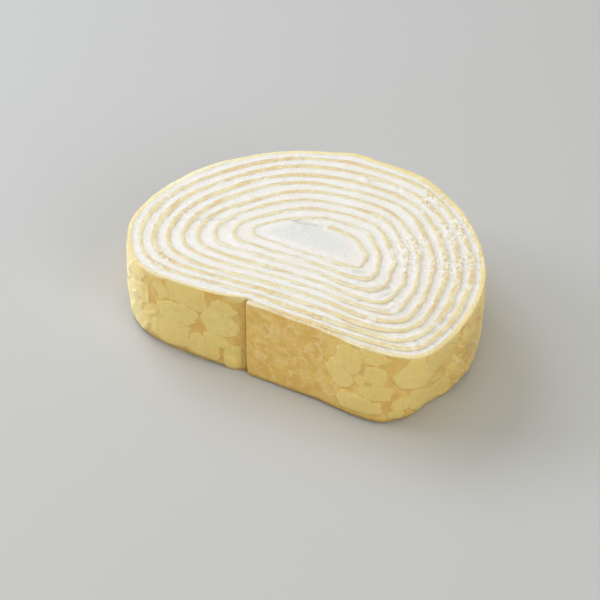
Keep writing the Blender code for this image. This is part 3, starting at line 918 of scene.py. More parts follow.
class Nodes:
    """Short-hand for building one material's nodes."""

    def __init__(self, name: str) -> None:
        """Start a material.

        Args:
            name: the material's name.
        """
        self.material = bpy.data.materials.new(name)
        self.material.use_nodes = True
        self.tree = self.material.node_tree
        self.shader = self.tree.nodes["Principled BSDF"]
        self.object_places = self.tree.nodes.new("ShaderNodeTexCoord").outputs["Object"]

    def feed(self, socket: Socket, value: object) -> None:
        """Link a socket, or set it to a constant."""
        if isinstance(value, Socket):
            self.tree.links.new(value, socket)
        else:
            socket.default_value = value

    def lumps(self, size: float, detail: float = 2.0, rough: float = 0.5) -> Socket:
        """Noise from 0 to 1 with lumps about size mm apart."""
        node = self.tree.nodes.new("ShaderNodeTexNoise")
        node.inputs["Scale"].default_value = 1.0 / (size * MM)
        node.inputs["Detail"].default_value = detail
        node.inputs["Roughness"].default_value = rough
        self.tree.links.new(self.object_places, node.inputs["Vector"])
        return node.outputs["Fac"]

    def between_cells(self, size: float, stray: float) -> Socket:
        """Distance from the nearest line between uneven cells.

        Args:
            size: width of a cell, in mm.
            stray: how far the lines wander, in mm.

        Returns:
            The distance, in widths of a cell.
        """
        wander = self.tree.nodes.new("ShaderNodeTexNoise")
        wander.inputs["Scale"].default_value = 1.0 / (0.7 * size * MM)
        self.tree.links.new(self.object_places, wander.inputs["Vector"])
        shifted = self.tree.nodes.new("ShaderNodeVectorMath")
        shifted.operation = "MULTIPLY_ADD"
        self.tree.links.new(wander.outputs["Color"], shifted.inputs[0])
        shifted.inputs[1].default_value = (stray * MM,) * 3
        self.tree.links.new(self.object_places, shifted.inputs[2])
        cells = self.tree.nodes.new("ShaderNodeTexVoronoi")
        cells.feature = "DISTANCE_TO_EDGE"
        cells.inputs["Scale"].default_value = 1.0 / (size * MM)
        self.tree.links.new(shifted.outputs["Vector"], cells.inputs["Vector"])
        return cells.outputs["Distance"]

    def attribute(self, name: str) -> Socket:
        """A value that the mesh carries on its points."""
        node = self.tree.nodes.new("ShaderNodeAttribute")
        node.attribute_name = name
        return node.outputs["Fac"]

    def maths(self, kind: str, first: object, second: object = 0.0,
              third: object = 0.0) -> Socket:
        """One step of arithmetic."""
        node = self.tree.nodes.new("ShaderNodeMath")
        node.operation = kind
        for socket, value in zip(node.inputs, (first, second, third)):
            self.feed(socket, value)
        return node.outputs["Value"]

    def times(self, first: object, second: object) -> Socket:
        """Two values multiplied."""
        return self.maths("MULTIPLY", first, second)

    def plus(self, first: object, second: object) -> Socket:
        """Two values added."""
        return self.maths("ADD", first, second)

    def scaled(self, value: object, factor: float, added: object) -> Socket:
        """A value times a factor, plus another."""
        return self.maths("MULTIPLY_ADD", value, factor, added)

    def at_most_one(self, value: object) -> Socket:
        """A value that is held at 1 where it is above it."""
        return self.maths("MINIMUM", value, 1.0)

    def between(self, value: object, low: float, high: float, out_low: float = 0.0,
                out_high: float = 1.0) -> Socket:
        """A smooth step of a value from out_low to out_high."""
        node = self.tree.nodes.new("ShaderNodeMapRange")
        node.interpolation_type = "SMOOTHSTEP"
        for name, given in (("Value", value), ("From Min", low), ("From Max", high),
                            ("To Min", out_low), ("To Max", out_high)):
            self.feed(node.inputs[name], given)
        return node.outputs["Result"]

    def mix(self, share: object, first: object, second: object) -> Socket:
        """Blend two colours."""
        node = self.tree.nodes.new("ShaderNodeMix")
        node.data_type = "RGBA"
        self.feed(node.inputs["Factor"], share)
        for socket, value in ((node.inputs["A"], first), (node.inputs["B"], second)):
            self.feed(socket, value if isinstance(value, Socket) else (*value, 1.0))
        return node.outputs["Result"]

    def bump(self, height: object, distance: float, strength: float,
             under: Socket | None = None) -> Socket:
        """Surface grain of a depth in mm, over another bump if there is one."""
        node = self.tree.nodes.new("ShaderNodeBump")
        node.inputs["Strength"].default_value = strength
        node.inputs["Distance"].default_value = distance * MM
        self.feed(node.inputs["Height"], height)
        if under is not None:
            self.tree.links.new(under, node.inputs["Normal"])
        return node.outputs["Normal"]

    def crumbs(self) -> Socket:
        """The unevenness of a torn cut face, from 0 in its dips to 1 on its crumbs."""
        return self.lumps(1.1, 3.0, 0.6)

    def crumb_bump(self, under: Socket) -> Socket:
        """Crumbs on another bump where the cut face is torn."""
        return self.bump(self.times(self.attribute("torn"), self.crumbs()), 0.45, 0.8, under)

    def crumbled(self, colour: Socket, dip: Colour, crumb: Colour) -> Socket:
        """Dark dips and bright crumbs where the cut face is torn.

        Args:
            colour: what is torn.
            dip: colour between the crumbs.
            crumb: colour of the crumbs.

        Returns:
            The colour.
        """
        torn, crumbs = self.attribute("torn"), self.crumbs()
        low = self.times(torn, self.between(crumbs, 0.38, 0.47, 0.75, 0.0))
        high = self.times(torn, self.between(crumbs, 0.54, 0.60, 0.0, 0.95))
        return self.mix(high, self.mix(low, colour, dip), crumb)

    def surface(self, colour: Socket, roughness: object, normal: Socket, subsurface: float,
                radius: Colour, specular: float) -> bpy.types.Material:
        """Join the parts of the finish on the shader.

        Args:
            colour: base colour.
            roughness: how matte it is.
            normal: the bumped normal.
            subsurface: share of the light that passes under the surface.
            radius: how far red, green and blue light pass, in mm.
            specular: how much the surface shines.

        Returns:
            The finished material.
        """
        self.tree.links.new(colour, self.shader.inputs["Base Color"])
        self.feed(self.shader.inputs["Roughness"], roughness)
        self.tree.links.new(normal, self.shader.inputs["Normal"])
        self.shader.inputs["Subsurface Weight"].default_value = subsurface
        self.shader.inputs["Subsurface Radius"].default_value = radius
        self.shader.inputs["Subsurface Scale"].default_value = MM
        self.shader.inputs["Specular IOR Level"].default_value = specular
        return self.material


@dataclass(frozen=True)
class CrepeFinish:
    """Baked crepe: yellow blisters in a tan net outside, a paler cut edge."""

    blister: Colour = linear(246, 224, 142)
    blister_deep: Colour = linear(243, 213, 124)
    net: Colour = linear(242, 206, 118)
    net_deep: Colour = linear(231, 189, 97)
    outline: Colour = linear(208, 168, 84)
    trace: Colour = linear(250, 218, 158)
    # painted shade in the seam's crease, orange-brown
    crease: Colour = linear(200, 126, 50)
    # painted shade along the wall's foot and on its right end
    foot: Colour = linear(176, 142, 62)
    # pale flecks, and the colour of the painted highlights and painted sheen
    pale: Colour = linear(255, 239, 186)
    # the outermost turn's pale cut edge, brightened by a painted highlight along the rounded rim
    rim: Colour = linear(249, 244, 206)
    rim_deep: Colour = linear(238, 218, 152)
    cut_pale: Colour = linear(234, 224, 184)
    cut_tan: Colour = linear(227, 210, 164)
    cut_toasted: Colour = linear(220, 188, 138)
    film: Colour = linear(238, 236, 226)
    crumb: Colour = linear(250, 248, 243)
    roughness: float = 0.45
    specular: float = 0.5
    subsurface: float = 0.25
    glow: Colour = (1.4, 0.8, 0.35)   # how far red, green and blue light pass, in mm

    def skin(self, nodes: Nodes, inside: Socket, toast: Socket) -> Socket:
        """Colour of the baked side.

        Args:
            nodes: the material's nodes.
            inside: distance inside a blister, in mm.
            toast: how well done the crepe is.

        Returns:
            The colour.
        """
        skin = self.blistered(nodes, inside, toast)
        away = nodes.plus(nodes.attribute("trace"), nodes.times(nodes.lumps(1.4), 0.4))
        trace = nodes.between(away, 0.28, 0.68, 1.0, 0.0)
        clear = nodes.between(nodes.lumps(2.2), 0.36, 0.56, 0.35, 0.78)
        skin = nodes.mix(nodes.times(trace, clear), skin, self.trace)
        crinkle = nodes.between(nodes.between_cells(3.8, 4.5), 0.02, 0.14, 1.0, 0.0)
        shown = nodes.times(nodes.attribute("crinkled"),
                            nodes.between(nodes.lumps(2.6), 0.42, 0.62, 0.0, 0.62))
        skin = nodes.mix(nodes.times(crinkle, shown), skin, self.trace)
        mottled = nodes.between(nodes.lumps(1.3, 4.0, 0.65), 0.30, 0.55, 0.28, 0.0)
        skin = nodes.mix(mottled, skin, self.net_deep)
        torn = nodes.attribute("torn")
        dark = nodes.between(nodes.lumps(1.0, 3.0, 0.65), 0.52, 0.64, 0.0, 0.75)
        skin = nodes.mix(nodes.times(torn, dark), skin, self.outline)
        light = nodes.between(nodes.lumps(1.7, 3.0, 0.65), 0.54, 0.66, 0.0, 0.7)
        skin = nodes.mix(nodes.times(torn, light), skin, self.pale)
        # Painted sheen on the wall's ends and painted highlights along its fold ridges.
        skin = nodes.mix(nodes.attribute("pale"), skin, self.pale)
        # Painted shade: the seam's crease is darkened orange-brown.
        return nodes.mix(nodes.attribute("crease"), skin, self.crease)

    def blistered(self, nodes: Nodes, inside: Socket, toast: Socket) -> Socket:
        """Colour of the blisters and the net between them, with their dark edges and a painted
        highlight just inside them.

        Args:
            nodes: the material's nodes.
            inside: distance inside a blister, in mm.
            toast: how well done the crepe is.

        Returns:
            The colour.
        """
        done = nodes.plus(nodes.between(nodes.lumps(3.0, 3.0), 0.38, 0.68), toast)
        net = nodes.mix(nodes.at_most_one(done), self.net, self.net_deep)
        net = nodes.mix(nodes.between(nodes.lumps(4.6, 2.0), 0.52, 0.66, 0.0, 0.7),
                        net, self.blister_deep)
        tint = nodes.times(nodes.scaled(nodes.attribute("tint"), 0.5, 0.5), 0.5)
        pale = nodes.at_most_one(nodes.scaled(nodes.lumps(2.6, 3.0), 0.7, tint))
        blister = nodes.mix(pale, self.blister_deep, self.blister)
        skin = nodes.mix(nodes.between(inside, -0.20, 0.32, 0.0, 0.92), net, blister)
        line = nodes.times(nodes.between(inside, -0.40, -0.08),
                           nodes.between(inside, 0.0, 0.16, 1.0, 0.0))
        faint = nodes.between(nodes.lumps(2.2), 0.40, 0.62, 0.05, 0.55)
        skin = nodes.mix(nodes.times(line, faint), skin, self.outline)
        # Painted highlight just inside each blister's edge.
        painted_lip_highlight = nodes.times(nodes.between(inside, 0.02, 0.16),
                          nodes.between(inside, 0.24, 0.50, 1.0, 0.0))
        bright = nodes.between(nodes.lumps(1.5, 3.0), 0.48, 0.66, 0.0, 0.5)
        return nodes.mix(nodes.times(painted_lip_highlight, bright), skin, self.pale)

    def cut(self, nodes: Nodes, toast: Socket) -> Socket:
        """Colour of the cut edge.

        Args:
            nodes: the material's nodes.
            toast: how well done the crepe is.

        Returns:
            The colour.
        """
        grain = nodes.between(nodes.lumps(4.0, 3.0, 0.6), 0.36, 0.62)
        cut = nodes.mix(grain, self.cut_tan, self.cut_pale)
        burnt = nodes.plus(nodes.times(toast, 0.6),
                           nodes.between(nodes.lumps(7.0, 2.0), 0.48, 0.72, 0.0, 0.7))
        spotted = nodes.between(nodes.lumps(1.6, 3.0), 0.28, 0.56)
        cut = nodes.mix(nodes.times(nodes.at_most_one(burnt), spotted), cut, self.cut_toasted)
        # The outermost turn's cut edge and the wall's top band: the pale cut edge, with a painted
        # highlight along the rounded rim.
        rim = nodes.mix(nodes.scaled(nodes.attribute("tint"), 0.5, 0.5), self.rim_deep, self.rim)
        rim = nodes.mix(nodes.between(nodes.lumps(2.4, 3.0), 0.46, 0.62, 0.0, 0.3),
                        rim, self.blister_deep)
        cut = nodes.mix(nodes.attribute("rim"), cut, rim)
        specks = nodes.times(nodes.scaled(toast, 0.6, 0.25),
                             nodes.between(nodes.lumps(0.8, 3.0, 0.65), 0.54, 0.64))
        cut = nodes.mix(specks, cut, self.cut_toasted)
        edge = nodes.scaled(nodes.lumps(0.9, 3.0, 0.6), 2.2, nodes.attribute("across"))
        cut = nodes.mix(nodes.between(edge, 1.98, 2.14, 0.0, 0.95), cut, self.film)
        cut = nodes.mix(nodes.attribute("film"), cut, self.film)
        return nodes.crumbled(cut, self.cut_toasted, self.crumb)

    def material(self) -> bpy.types.Material:
        """Build the material."""
        nodes = Nodes("crepe_baked")
        inside = nodes.plus(nodes.attribute("blister"), nodes.scaled(nodes.lumps(0.9), 0.5, -0.25))
        toast = nodes.attribute("toast")
        baked = nodes.attribute("skin")
        edge = nodes.plus(baked, nodes.scaled(nodes.lumps(1.6, 3.0), 1.2, -0.6))
        share = nodes.times(nodes.between(edge, 0.10, 0.75), nodes.between(baked, 0.0, 0.05))
        colour = nodes.mix(share, self.cut(nodes, toast), self.skin(nodes, inside, toast))
        # Painted shade: the wall is darkened along its foot and on its right end.
        colour = nodes.mix(nodes.times(nodes.attribute("foot"), 0.75), colour, self.foot)

        fine = nodes.bump(nodes.lumps(0.8, 4.0, 0.65), 0.30, 0.75)
        normal = nodes.bump(nodes.between(inside, -0.30, 0.26), 0.16, 0.7, nodes.crumb_bump(fine))
        matte = nodes.scaled(nodes.lumps(2.5), 0.16, self.roughness - 0.08)
        return nodes.surface(colour, matte, normal, self.subsurface, self.glow, self.specular)


@dataclass(frozen=True)
class CreamFinish:
    """Whipped cream: nearly white, matte, with faint pores and a warm glow inside."""

    white: Colour = linear(240, 237, 234)
    warm: Colour = linear(238, 233, 226)
    heart: Colour = linear(225, 226, 224)
    flecks: Colour = linear(234, 216, 178)
    crumb: Colour = linear(251, 249, 246)
    # painted shade in the cream's creases
    crease: Colour = linear(204, 204, 198)
    stain: Colour = linear(238, 224, 190)
    roughness: float = 0.55
    specular: float = 0.3
    subsurface: float = 0.3
    glow: Colour = (1.4, 1.2, 0.9)    # how far red, green and blue light pass, in mm

    def material(self) -> bpy.types.Material:
        """Build the material."""
        nodes = Nodes("whipped_cream")
        colour = nodes.mix(nodes.between(nodes.lumps(6.0, 3.0), 0.3, 0.7), self.white, self.warm)
        colour = nodes.mix(nodes.attribute("heart"), colour, self.heart)
        near = nodes.scaled(nodes.lumps(0.9, 3.0, 0.6), -2.0, nodes.attribute("clear"))
        stain = nodes.times(nodes.between(near, -1.02, -0.90, 0.9, 0.0),
                            nodes.between(nodes.lumps(3.4), 0.38, 0.58, 0.15, 1.0))
        colour = nodes.mix(stain, colour, self.stain)
        colour = nodes.crumbled(colour, self.flecks, self.crumb)
        # Painted shade: the dips of the cream's creases are greyed.
        colour = nodes.mix(nodes.attribute("crease"), colour, self.crease)
        pores = nodes.bump(nodes.lumps(0.9, 4.0, 0.65), 0.30, 0.75)
        normal = nodes.bump(nodes.lumps(2.0, 3.0, 0.6), 0.30, 0.45, nodes.crumb_bump(pores))
        return nodes.surface(colour, self.roughness, normal, self.subsurface, self.glow,
                             self.specular)


@dataclass(frozen=True)
class TableFinish:
    """The plain pale floor."""

    colour: Colour = linear(192, 193, 194)
    shade: float = 0.985              # how much darker its darker spots are
    roughness: float = 0.6
    specular: float = 0.3

    def material(self) -> bpy.types.Material:
        """Build the material."""
        nodes = Nodes("pale_floor")
        darker = tuple(self.shade * part for part in self.colour)
        colour = nodes.mix(nodes.lumps(60.0), self.colour, darker)
        return nodes.surface(colour, self.roughness, nodes.bump(nodes.lumps(2.0), 0.02, 0.1),
                             0.0, (1.0, 1.0, 1.0), self.specular)


# ------------------------------------------------------------------ building
def written(form: bmesh.types.BMesh, name: str, places: np.ndarray,
            values: dict[str, np.ndarray], material: bpy.types.Material) -> bpy.types.Object:
    """Put a bmesh's points in place and write it to a new object.

    Args:
        form: the mesh, which is freed.
        name: the piece's name.
        places: one place for each point, in mm.
        values: values that the finish reads from the points, by name.
        material: the finish.

    Returns:
        The new object, at the origin.
    """
    for point, place in zip(form.verts, places * MM):
        point.co = place
    layers = {key: form.verts.layers.float.new(key) for key in values}
    for key, layer in layers.items():
        for point, value in zip(form.verts, values[key]):
            point[layer] = value
    bmesh.ops.recalc_face_normals(form, faces=form.faces[:])
    if form.calc_volume(signed=True) < 0.0:
        bmesh.ops.reverse_faces(form, faces=form.faces[:])
    for face in form.faces:
        face.smooth = True
    for edge in form.edges:
        edge.smooth = edge.calc_face_angle(0.0) < SHARP
    mesh = bpy.data.meshes.new(name)
    form.to_mesh(mesh)
    form.free()
    mesh.materials.append(material)
    piece = bpy.data.objects.new(name, mesh)
    bpy.context.scene.collection.objects.link(piece)
    LOG.info("%s: %d points, %d faces", name, len(mesh.vertices), len(mesh.polygons))
    return piece


def flat_grid(turns: np.ndarray, rows: int, side: float) -> bmesh.types.BMesh:
    """A flat grid with turn counts along x and shares from 0 to 1 along y.

    Args:
        turns: the turn count of each line of points.
        rows: rows of faces between them.
        side: where the grid lies along z.

    Returns:
        The grid.
    """
    form = bmesh.new()
    count = len(turns) - 1
    bmesh.ops.create_grid(form, x_segments=count, y_segments=rows, size=1.0)
    for point in form.verts:
        index = int(round((point.co.x + 1.0) / 2.0 * count))
        point.co = (turns[index], 0.5 + 0.5 * point.co.y, side)
    return form


def new_points(result: dict) -> list[bmesh.types.BMVert]:
    """The points that an extrusion has made."""
    return [item for item in result["geom"] if isinstance(item, bmesh.types.BMVert)]


@dataclass
class CrepeSheet:
    """The rolled crepe: one long flat band that is thickened, cut finer and rolled up."""

    coil: Coil
    cut: CutFace
    baked: BakedSide
    finish: CrepeFinish = CrepeFinish()
    step: float = 0.50                # between points along the crepe
    wall_step: float = 0.42           # between points along the outer wall
    wall_rows: int = 60               # rows of faces up the outer wall
    edge_rows: int = 4                # rows of faces across the upper edge
    covered_at: float = 8.505         # the wall shows from here, where it leaves the flap
    groove: float = 0.35              # how deep the skin dips along the seam
    seam_from: Span = (-0.006, -0.001)    # turns from the flap's end at which the seam's
    seam_to: Span = (0.0034, 0.0062)      # line comes up, and fades again
    # Painted shade: how strongly the seam's crease is darkened.
    seam_shade: float = 0.8
    ragged_from: Span = (8.42, 8.53)  # the outermost turn's upper edge is ragged from here
    edge_film_ends: Span = (8.36, 8.5)
    rim_film_from: Span = (8.42, 8.54)
    rim_film_share: float = 0.12
    rim_filmed: Humps = ((0.50, 0.22, 0.46), (0.465, 0.10, -0.40))    # on a share of a turn
    rim_colour_ends: Span = (9.3, 9.4)
    rim_paleness: float = -0.6
    rim_paler: Humps = ((0.83, 0.18, 1.9), (0.48, 0.2, -0.4))
    rim_depth: float = 1.7            # mm
    rim_deeper: Humps = ((0.48, 0.24, -1.25), (0.531, 0.016, 3.0), (0.61, 0.05, 0.5))
    less_smeared: Humps = ((0.37, 0.09, 0.4),)
    # Painted shade on the wall's right end; the second hump reaches only its lower part.
    shaded: Humps = ((220.0, 13.0, 0.24),)        # along the wall, in mm
    shaded_foot: Humps = ((205.0, 13.0, 0.50),)

    def band(self) -> bmesh.types.BMesh:
        """The flat band: turn counts along x, levels along y, sides of -1 and 1 along z.

        Returns:
            The band as one closed body.
        """
        turns = np.concatenate([
            self.coil.turns_at(self.coil.start, self.covered_at, self.step),
            self.coil.turns_at(self.covered_at, self.coil.end, self.wall_step)[1:]])
        form = flat_grid(turns, 1, -1.0)
        thickened = bmesh.ops.extrude_face_region(form, geom=form.faces[:])
        bmesh.ops.translate(form, verts=new_points(thickened), vec=(0.0, 0.0, 2.0))

        def spans(edge: bmesh.types.BMEdge, axis: int) -> bool:
            """Whether an edge runs along one axis, from one side to the other."""
            return abs(edge.verts[0].co[axis] - edge.verts[1].co[axis]) > 0.5 and all(
                abs(edge.verts[0].co[other] - edge.verts[1].co[other]) < 1e-6
                for other in range(3) if other != axis)

        across = [edge for edge in form.edges if spans(edge, 2)]
        bmesh.ops.subdivide_edges(form, edges=across, cuts=self.edge_rows - 1, use_grid_fill=True)
        upright = [edge for edge in form.edges
                   if spans(edge, 1) and edge.verts[0].co.z > OUTER_FACE
                   and edge.verts[0].co.x > self.covered_at]
        bmesh.ops.subdivide_edges(form, edges=upright, cuts=self.wall_rows - 1, use_grid_fill=True)
        return form

    def build(self) -> bpy.types.Object:
        """Roll the band up.

        Returns:
            The piece.
        """
        form = self.band()
        flat = np.array([point.co for point in form.verts])
        turn, level, side = flat[:, 0], flat[:, 1], flat[:, 2]
        half = self.coil.half_width(turn, side)
        plan = self.coil.place(turn, level, half * side)

        rising = np.linspace(self.covered_at, self.coil.end, 4000)
        runs = self.coil.run_of(rising, 0.5 * self.coil.crepe_thickness)
        runs = runs - np.interp(self.coil.wall_from, rising, runs)
        places = np.column_stack([np.interp(turn, rising, runs), level * self.coil.height])
        outside = (side > OUTER_FACE) & (turn > self.covered_at + 1e-4)
        inside, tint, trace = (np.full(len(turn), value) for value in (-1.0, 0.0, 9.0))
        inside[outside], tint[outside], trace[outside] = self.baked.pattern(places[outside])
        relief = np.zeros(len(turn))
        relief[outside] = self.baked.relief(places[outside], inside[outside], trace[outside])
        relief = relief * (1.0 - 0.6 * np.abs(2.0 * level - 1.0) ** 6)
        relief = relief - self.groove * self.seam_line(turn, side)
        plan = plan + relief[:, None] * self.coil.normal(turn, level)
        height = self.heights(plan, flat, places, outside)

        values = self.shades(plan, flat, places, outside)
        values.update(blister=inside, trace=trace,
                      tint=np.where(level > AT_TOP, self.rim_tint(turn), tint))
        piece = written(form, "crepe_sheet", np.column_stack([plan, height]), values,
                        self.finish.material())
        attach(piece, "root")
        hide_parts("crepe")
        return piece

    def heights(self, plan: np.ndarray, flat: np.ndarray, places: np.ndarray,
                outside: np.ndarray) -> np.ndarray:
        """Height of each point.

        Args:
            plan: plan positions, in mm.
            flat: the points of the flat band.
            places: places along and up the wall, in mm.
            outside: which points lie on the baked side.

        Returns:
            One height for each point, in mm.
        """
        turn, level, side = flat[:, 0], flat[:, 1], flat[:, 2]
        run = along_coil(turn)
        ragged = 0.16 * lumps(run, 3.2, 43) + 0.10 * lumps(run, 1.3, 44) - 0.10
        upper = self.cut.crepe_upper(plan, side) + smooth_step(turn, *self.ragged_from) * ragged
        upper = np.minimum(upper, self.coil.height)
        lower = 0.06 + 0.06 * lumps(plan, 2.2, 41)
        lift = self.baked.foot_lift(places[:, 0]) * (turn > self.covered_at + 1e-4)
        height = level * (self.coil.height - 0.12) + outside * lift * np.exp(-places[:, 1] / 4.0)
        height = np.where(level > AT_TOP, upper, height)
        lower = np.where(outside, lift, lower + 0.1 * side ** 4 + lift * (0.5 + 0.5 * side))
        return np.where(level < AT_BOTTOM, np.maximum(lower, 0.0), height)

    def shades(self, plan: np.ndarray, flat: np.ndarray, places: np.ndarray,
               outside: np.ndarray) -> dict[str, np.ndarray]:
        """What the finish reads from each point, apart from the blisters.

        Args:
            plan: plan positions, in mm.
            flat: the points of the flat band.
            places: places along and up the wall, in mm.
            outside: which points lie on the baked side.

        Returns:
            One row of values for each name.
        """
        turn, level, side = flat[:, 0], flat[:, 1], flat[:, 2]
        along, up = places[:, 0], places[:, 1]
        outermost = smooth_step(turn, *self.coil.outermost)
        top = level > 0.9
        film = np.zeros(len(turn))
        film[top] = self.cut.film(plan[top], turn[top])
        film = film * (1.0 - 0.85 * smooth_step(turn, *self.edge_film_ends))
        below_rim = (1.0 - level) * self.coil.height
        # Painted shade: darker at the foot, on the right end, and a little up to 8 mm above the
        # table.
        foot = np.max([1.0 - smooth_step(up, 0.2, 1.6), humps(along, self.shaded),
                       humps(along, self.shaded_foot) * (1.0 - smooth_step(up, 14.0, 27.0)),
                       0.13 * (1.0 - smooth_step(up, 1.0, 8.0))], axis=0)
        return {
            "toast": self.toast(plan, places, outside),
            "skin": np.where(outside, np.clip(below_rim / self.pale_rim(turn), 0.0, 1.0), 0.0),
            "rim": 0.85 * outermost * (1.0 - smooth_step(turn, *self.rim_colour_ends)),
            "film": np.maximum(film, top * self.rim_film(turn, side)),
            "across": np.where(top & ((side < 0.0) | (turn < 8.45)), np.abs(side), 0.0)
            - humps_round_the_turn(turn % 1.0, self.less_smeared),
            # crease: painted shade along the seam's crease
            "crease": self.seam_shade * self.seam_line(turn, side),
            # foot: painted shade along the wall's foot and on its right end
            "foot": (turn > self.covered_at) * foot,
            # pale: painted sheen on the wall's ends and painted highlights on its fold ridges
            "pale": self.baked.painted_sheen(places, outside),
            "crinkled": outside * (0.12 + 0.88 * smooth_step(along, 244.0, 256.0)),
            "torn": np.where(outside, self.baked.crinkled_end(places),
                             patched(plan, self.cut.torn) * top),
        }

    def toast(self, plan: np.ndarray, places: np.ndarray, outside: np.ndarray) -> np.ndarray:
        """How well done the crepe is at each point.

        Args:
            plan: plan positions, in mm.
            places: places along and up the wall, in mm.
            outside: which points lie on the baked side.

        Returns:
            One value for each point, from 0 to 1.
        """
        wall = (patched(places, self.baked.deep) + 0.30 * hump(places[:, 0], 264.0, 18.0)
                + 0.35 * (1.0 - smooth_step(places[:, 1], 0.0, 7.0)))
        return np.where(outside, wall, patched(plan, self.cut.toasted))

    def pale_rim(self, turn: np.ndarray) -> np.ndarray:
        """How far down the wall the pale cut edge and its painted rim highlight reach, in mm."""
        return self.rim_depth + humps_round_the_turn(turn % 1.0, self.rim_deeper)

    def rim_tint(self, turn: np.ndarray) -> np.ndarray:
        """How pale the rim is at turn counts, from about -1 to 1, which is most on the left."""
        return self.rim_paleness + humps_round_the_turn(turn % 1.0, self.rim_paler)

    def rim_film(self, turn: np.ndarray, side: np.ndarray) -> np.ndarray:
        """How much of the outermost turn's upper edge hides under cream, from 0 to 1."""
        share = self.rim_film_share + humps_round_the_turn(turn % 1.0, self.rim_filmed)
        drawn = smooth_step(0.9 * lumps(along_coil(turn), 3.0, 42) - side, -0.45, 0.45)
        return smooth_step(turn, *self.rim_film_from) * share * drawn

    def seam_line(self, turn: np.ndarray, side: np.ndarray) -> np.ndarray:
        """How near each point lies to the seam's bottom, where the flap ends, from 0 to 1."""
        past = turn - (self.coil.end - 1.0)
        return ((side > OUTER_FACE) & (turn < 9.0)) * smooth_step(past, *self.seam_from) * (
            1.0 - smooth_step(past, *self.seam_to))


@dataclass
class Cream:
    """The whipped cream: the heart of the roll and the layer between its turns."""

    coil: Coil
    cut: CutFace
    finish: CreamFinish = CreamFinish()
    step: float = 0.40                # between points along the layer
    rows: int = 9                     # rows of faces across the layer
    heart_rows: int = 15              # rings of faces from the heart's lining inwards
    overlap: float = 0.06             # how far the cream reaches into the crepe's face
    heart_middle: tuple[float, float] = (-2.5, -1.4)

    def sheet(self) -> bmesh.types.BMesh:
        """The flat layer and heart: turn counts along x, place across along y.

        How far a point of the heart lies from its lining towards the middle is along z.

        Returns:
            The open sheet.
        """
        turns = self.coil.turns_at(self.coil.start, self.coil.cream_end, self.step)
        form = flat_grid(turns, self.rows, 0.0)
        mouth = sorted((point for point in form.verts if point.co.x < turns[0] + 1e-6),
                       key=lambda point: point.co.y)
        lining = [form.verts.new((turn - 1.0, 1.0, 0.0))
                  for turn in self.coil.turns_at(0.0, 1.0, self.step)[-2::-1]]
        chain = [mouth[-1]] + lining + [mouth[0]]
        for first, last in zip(chain[:-1], chain[1:]):
            form.edges.new((first, last))
        loop = set(mouth) | set(lining)
        ring = [edge for edge in form.edges if edge.verts[0] in loop and edge.verts[1] in loop]
        for row in range(1, self.heart_rows + 1):
            grown = bmesh.ops.extrude_edge_only(form, edges=ring)
            for point in new_points(grown):
                point.co.z = row / (self.heart_rows + 0.6)
            ring = [item for item in grown["geom"] if isinstance(item, bmesh.types.BMEdge)
                    and abs(item.verts[0].co.z - item.verts[1].co.z) < 1e-6]
        bmesh.ops.edgeloop_fill(form, edges=ring)
        return form

    def plan(self, turn: np.ndarray, across: np.ndarray, inwards: np.ndarray,
             level: np.ndarray) -> np.ndarray:
        """Plan positions of the sheet's points.

        Args:
            turn: turn count of the crepe inside the layer.
            across: place across the layer, from 0 to 1.
            inwards: place in the heart from its lining to its middle, from 0 to 1.
            level: height in the slice, from 0 to 1.

        Returns:
            One plan position for each point, in mm.
        """
        inner = self.coil.place(turn, level, self.coil.half_width(turn, 1.0 + 0.0 * turn)
                                - self.overlap)
        outer = self.coil.place(turn + 1.0, level, self.overlap
                                - self.coil.half_width(turn + 1.0, -1.0 + 0.0 * turn))
        spread = inner + across[:, None] * (outer - inner)
        middle = np.array(self.heart_middle)
        return spread + inwards[:, None] * (middle - spread)

    def build(self) -> bpy.types.Object:
        """Raise the sheet to the slice's height and shape its cut faces.

        Returns:
            The piece.
        """
        form = self.sheet()
        body = form.verts.layers.float.new("level")
        raised = bmesh.ops.extrude_face_region(form, geom=form.faces[:])
        for point in new_points(raised):
            point[body] = Face.UPPER.value
        flat = np.array([point.co for point in form.verts])
        level = np.array([point[body] for point in form.verts])
        turn, across, inwards = flat[:, 0], flat[:, 1], flat[:, 2]
        plan = self.plan(turn, across, inwards, level)

        width = np.linalg.norm(self.plan(turn, 1.0 + 0.0 * turn, 0.0 * turn, level)
                               - self.plan(turn, 0.0 * turn, 0.0 * turn, level), axis=1)
        clear = width * np.minimum(across, 1.0 - across) + 20.0 * inwards
        upper = self.cut.cream_upper(plan, clear)
        lower = np.maximum(self.cut.lower_lift + 0.10 * lumps(plan, 3.0, 53), 0.02)
        height = np.where(level > 0.5, upper, lower)
        values = {"heart": smooth_step(inwards, 0.05, 0.5), "torn": patched(plan, self.cut.torn),
                  "clear": np.minimum(clear, 2.0),
                  # crease: painted shade in the dips of the cream's creases
                  "crease": np.clip(-1.6 * self.cut.creased(plan), 0.0, 0.6)}
        piece = written(form, "whipped_cream", np.column_stack([plan, height]), values,
                        self.finish.material())
        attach(piece, "root")
        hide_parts("cream")
        return piece


# ------------------------------------------------------------------ the studio
@dataclass(frozen=True)
class Lamp:
    """A soft square light."""

    name: str
    turned: float            # degrees round the slice, from the viewer's side to the right
    raised: float            # degrees above the table
    watts: float
    colour: Colour
    away: float = 0.9        # metres
    size: float = 0.45       # metres


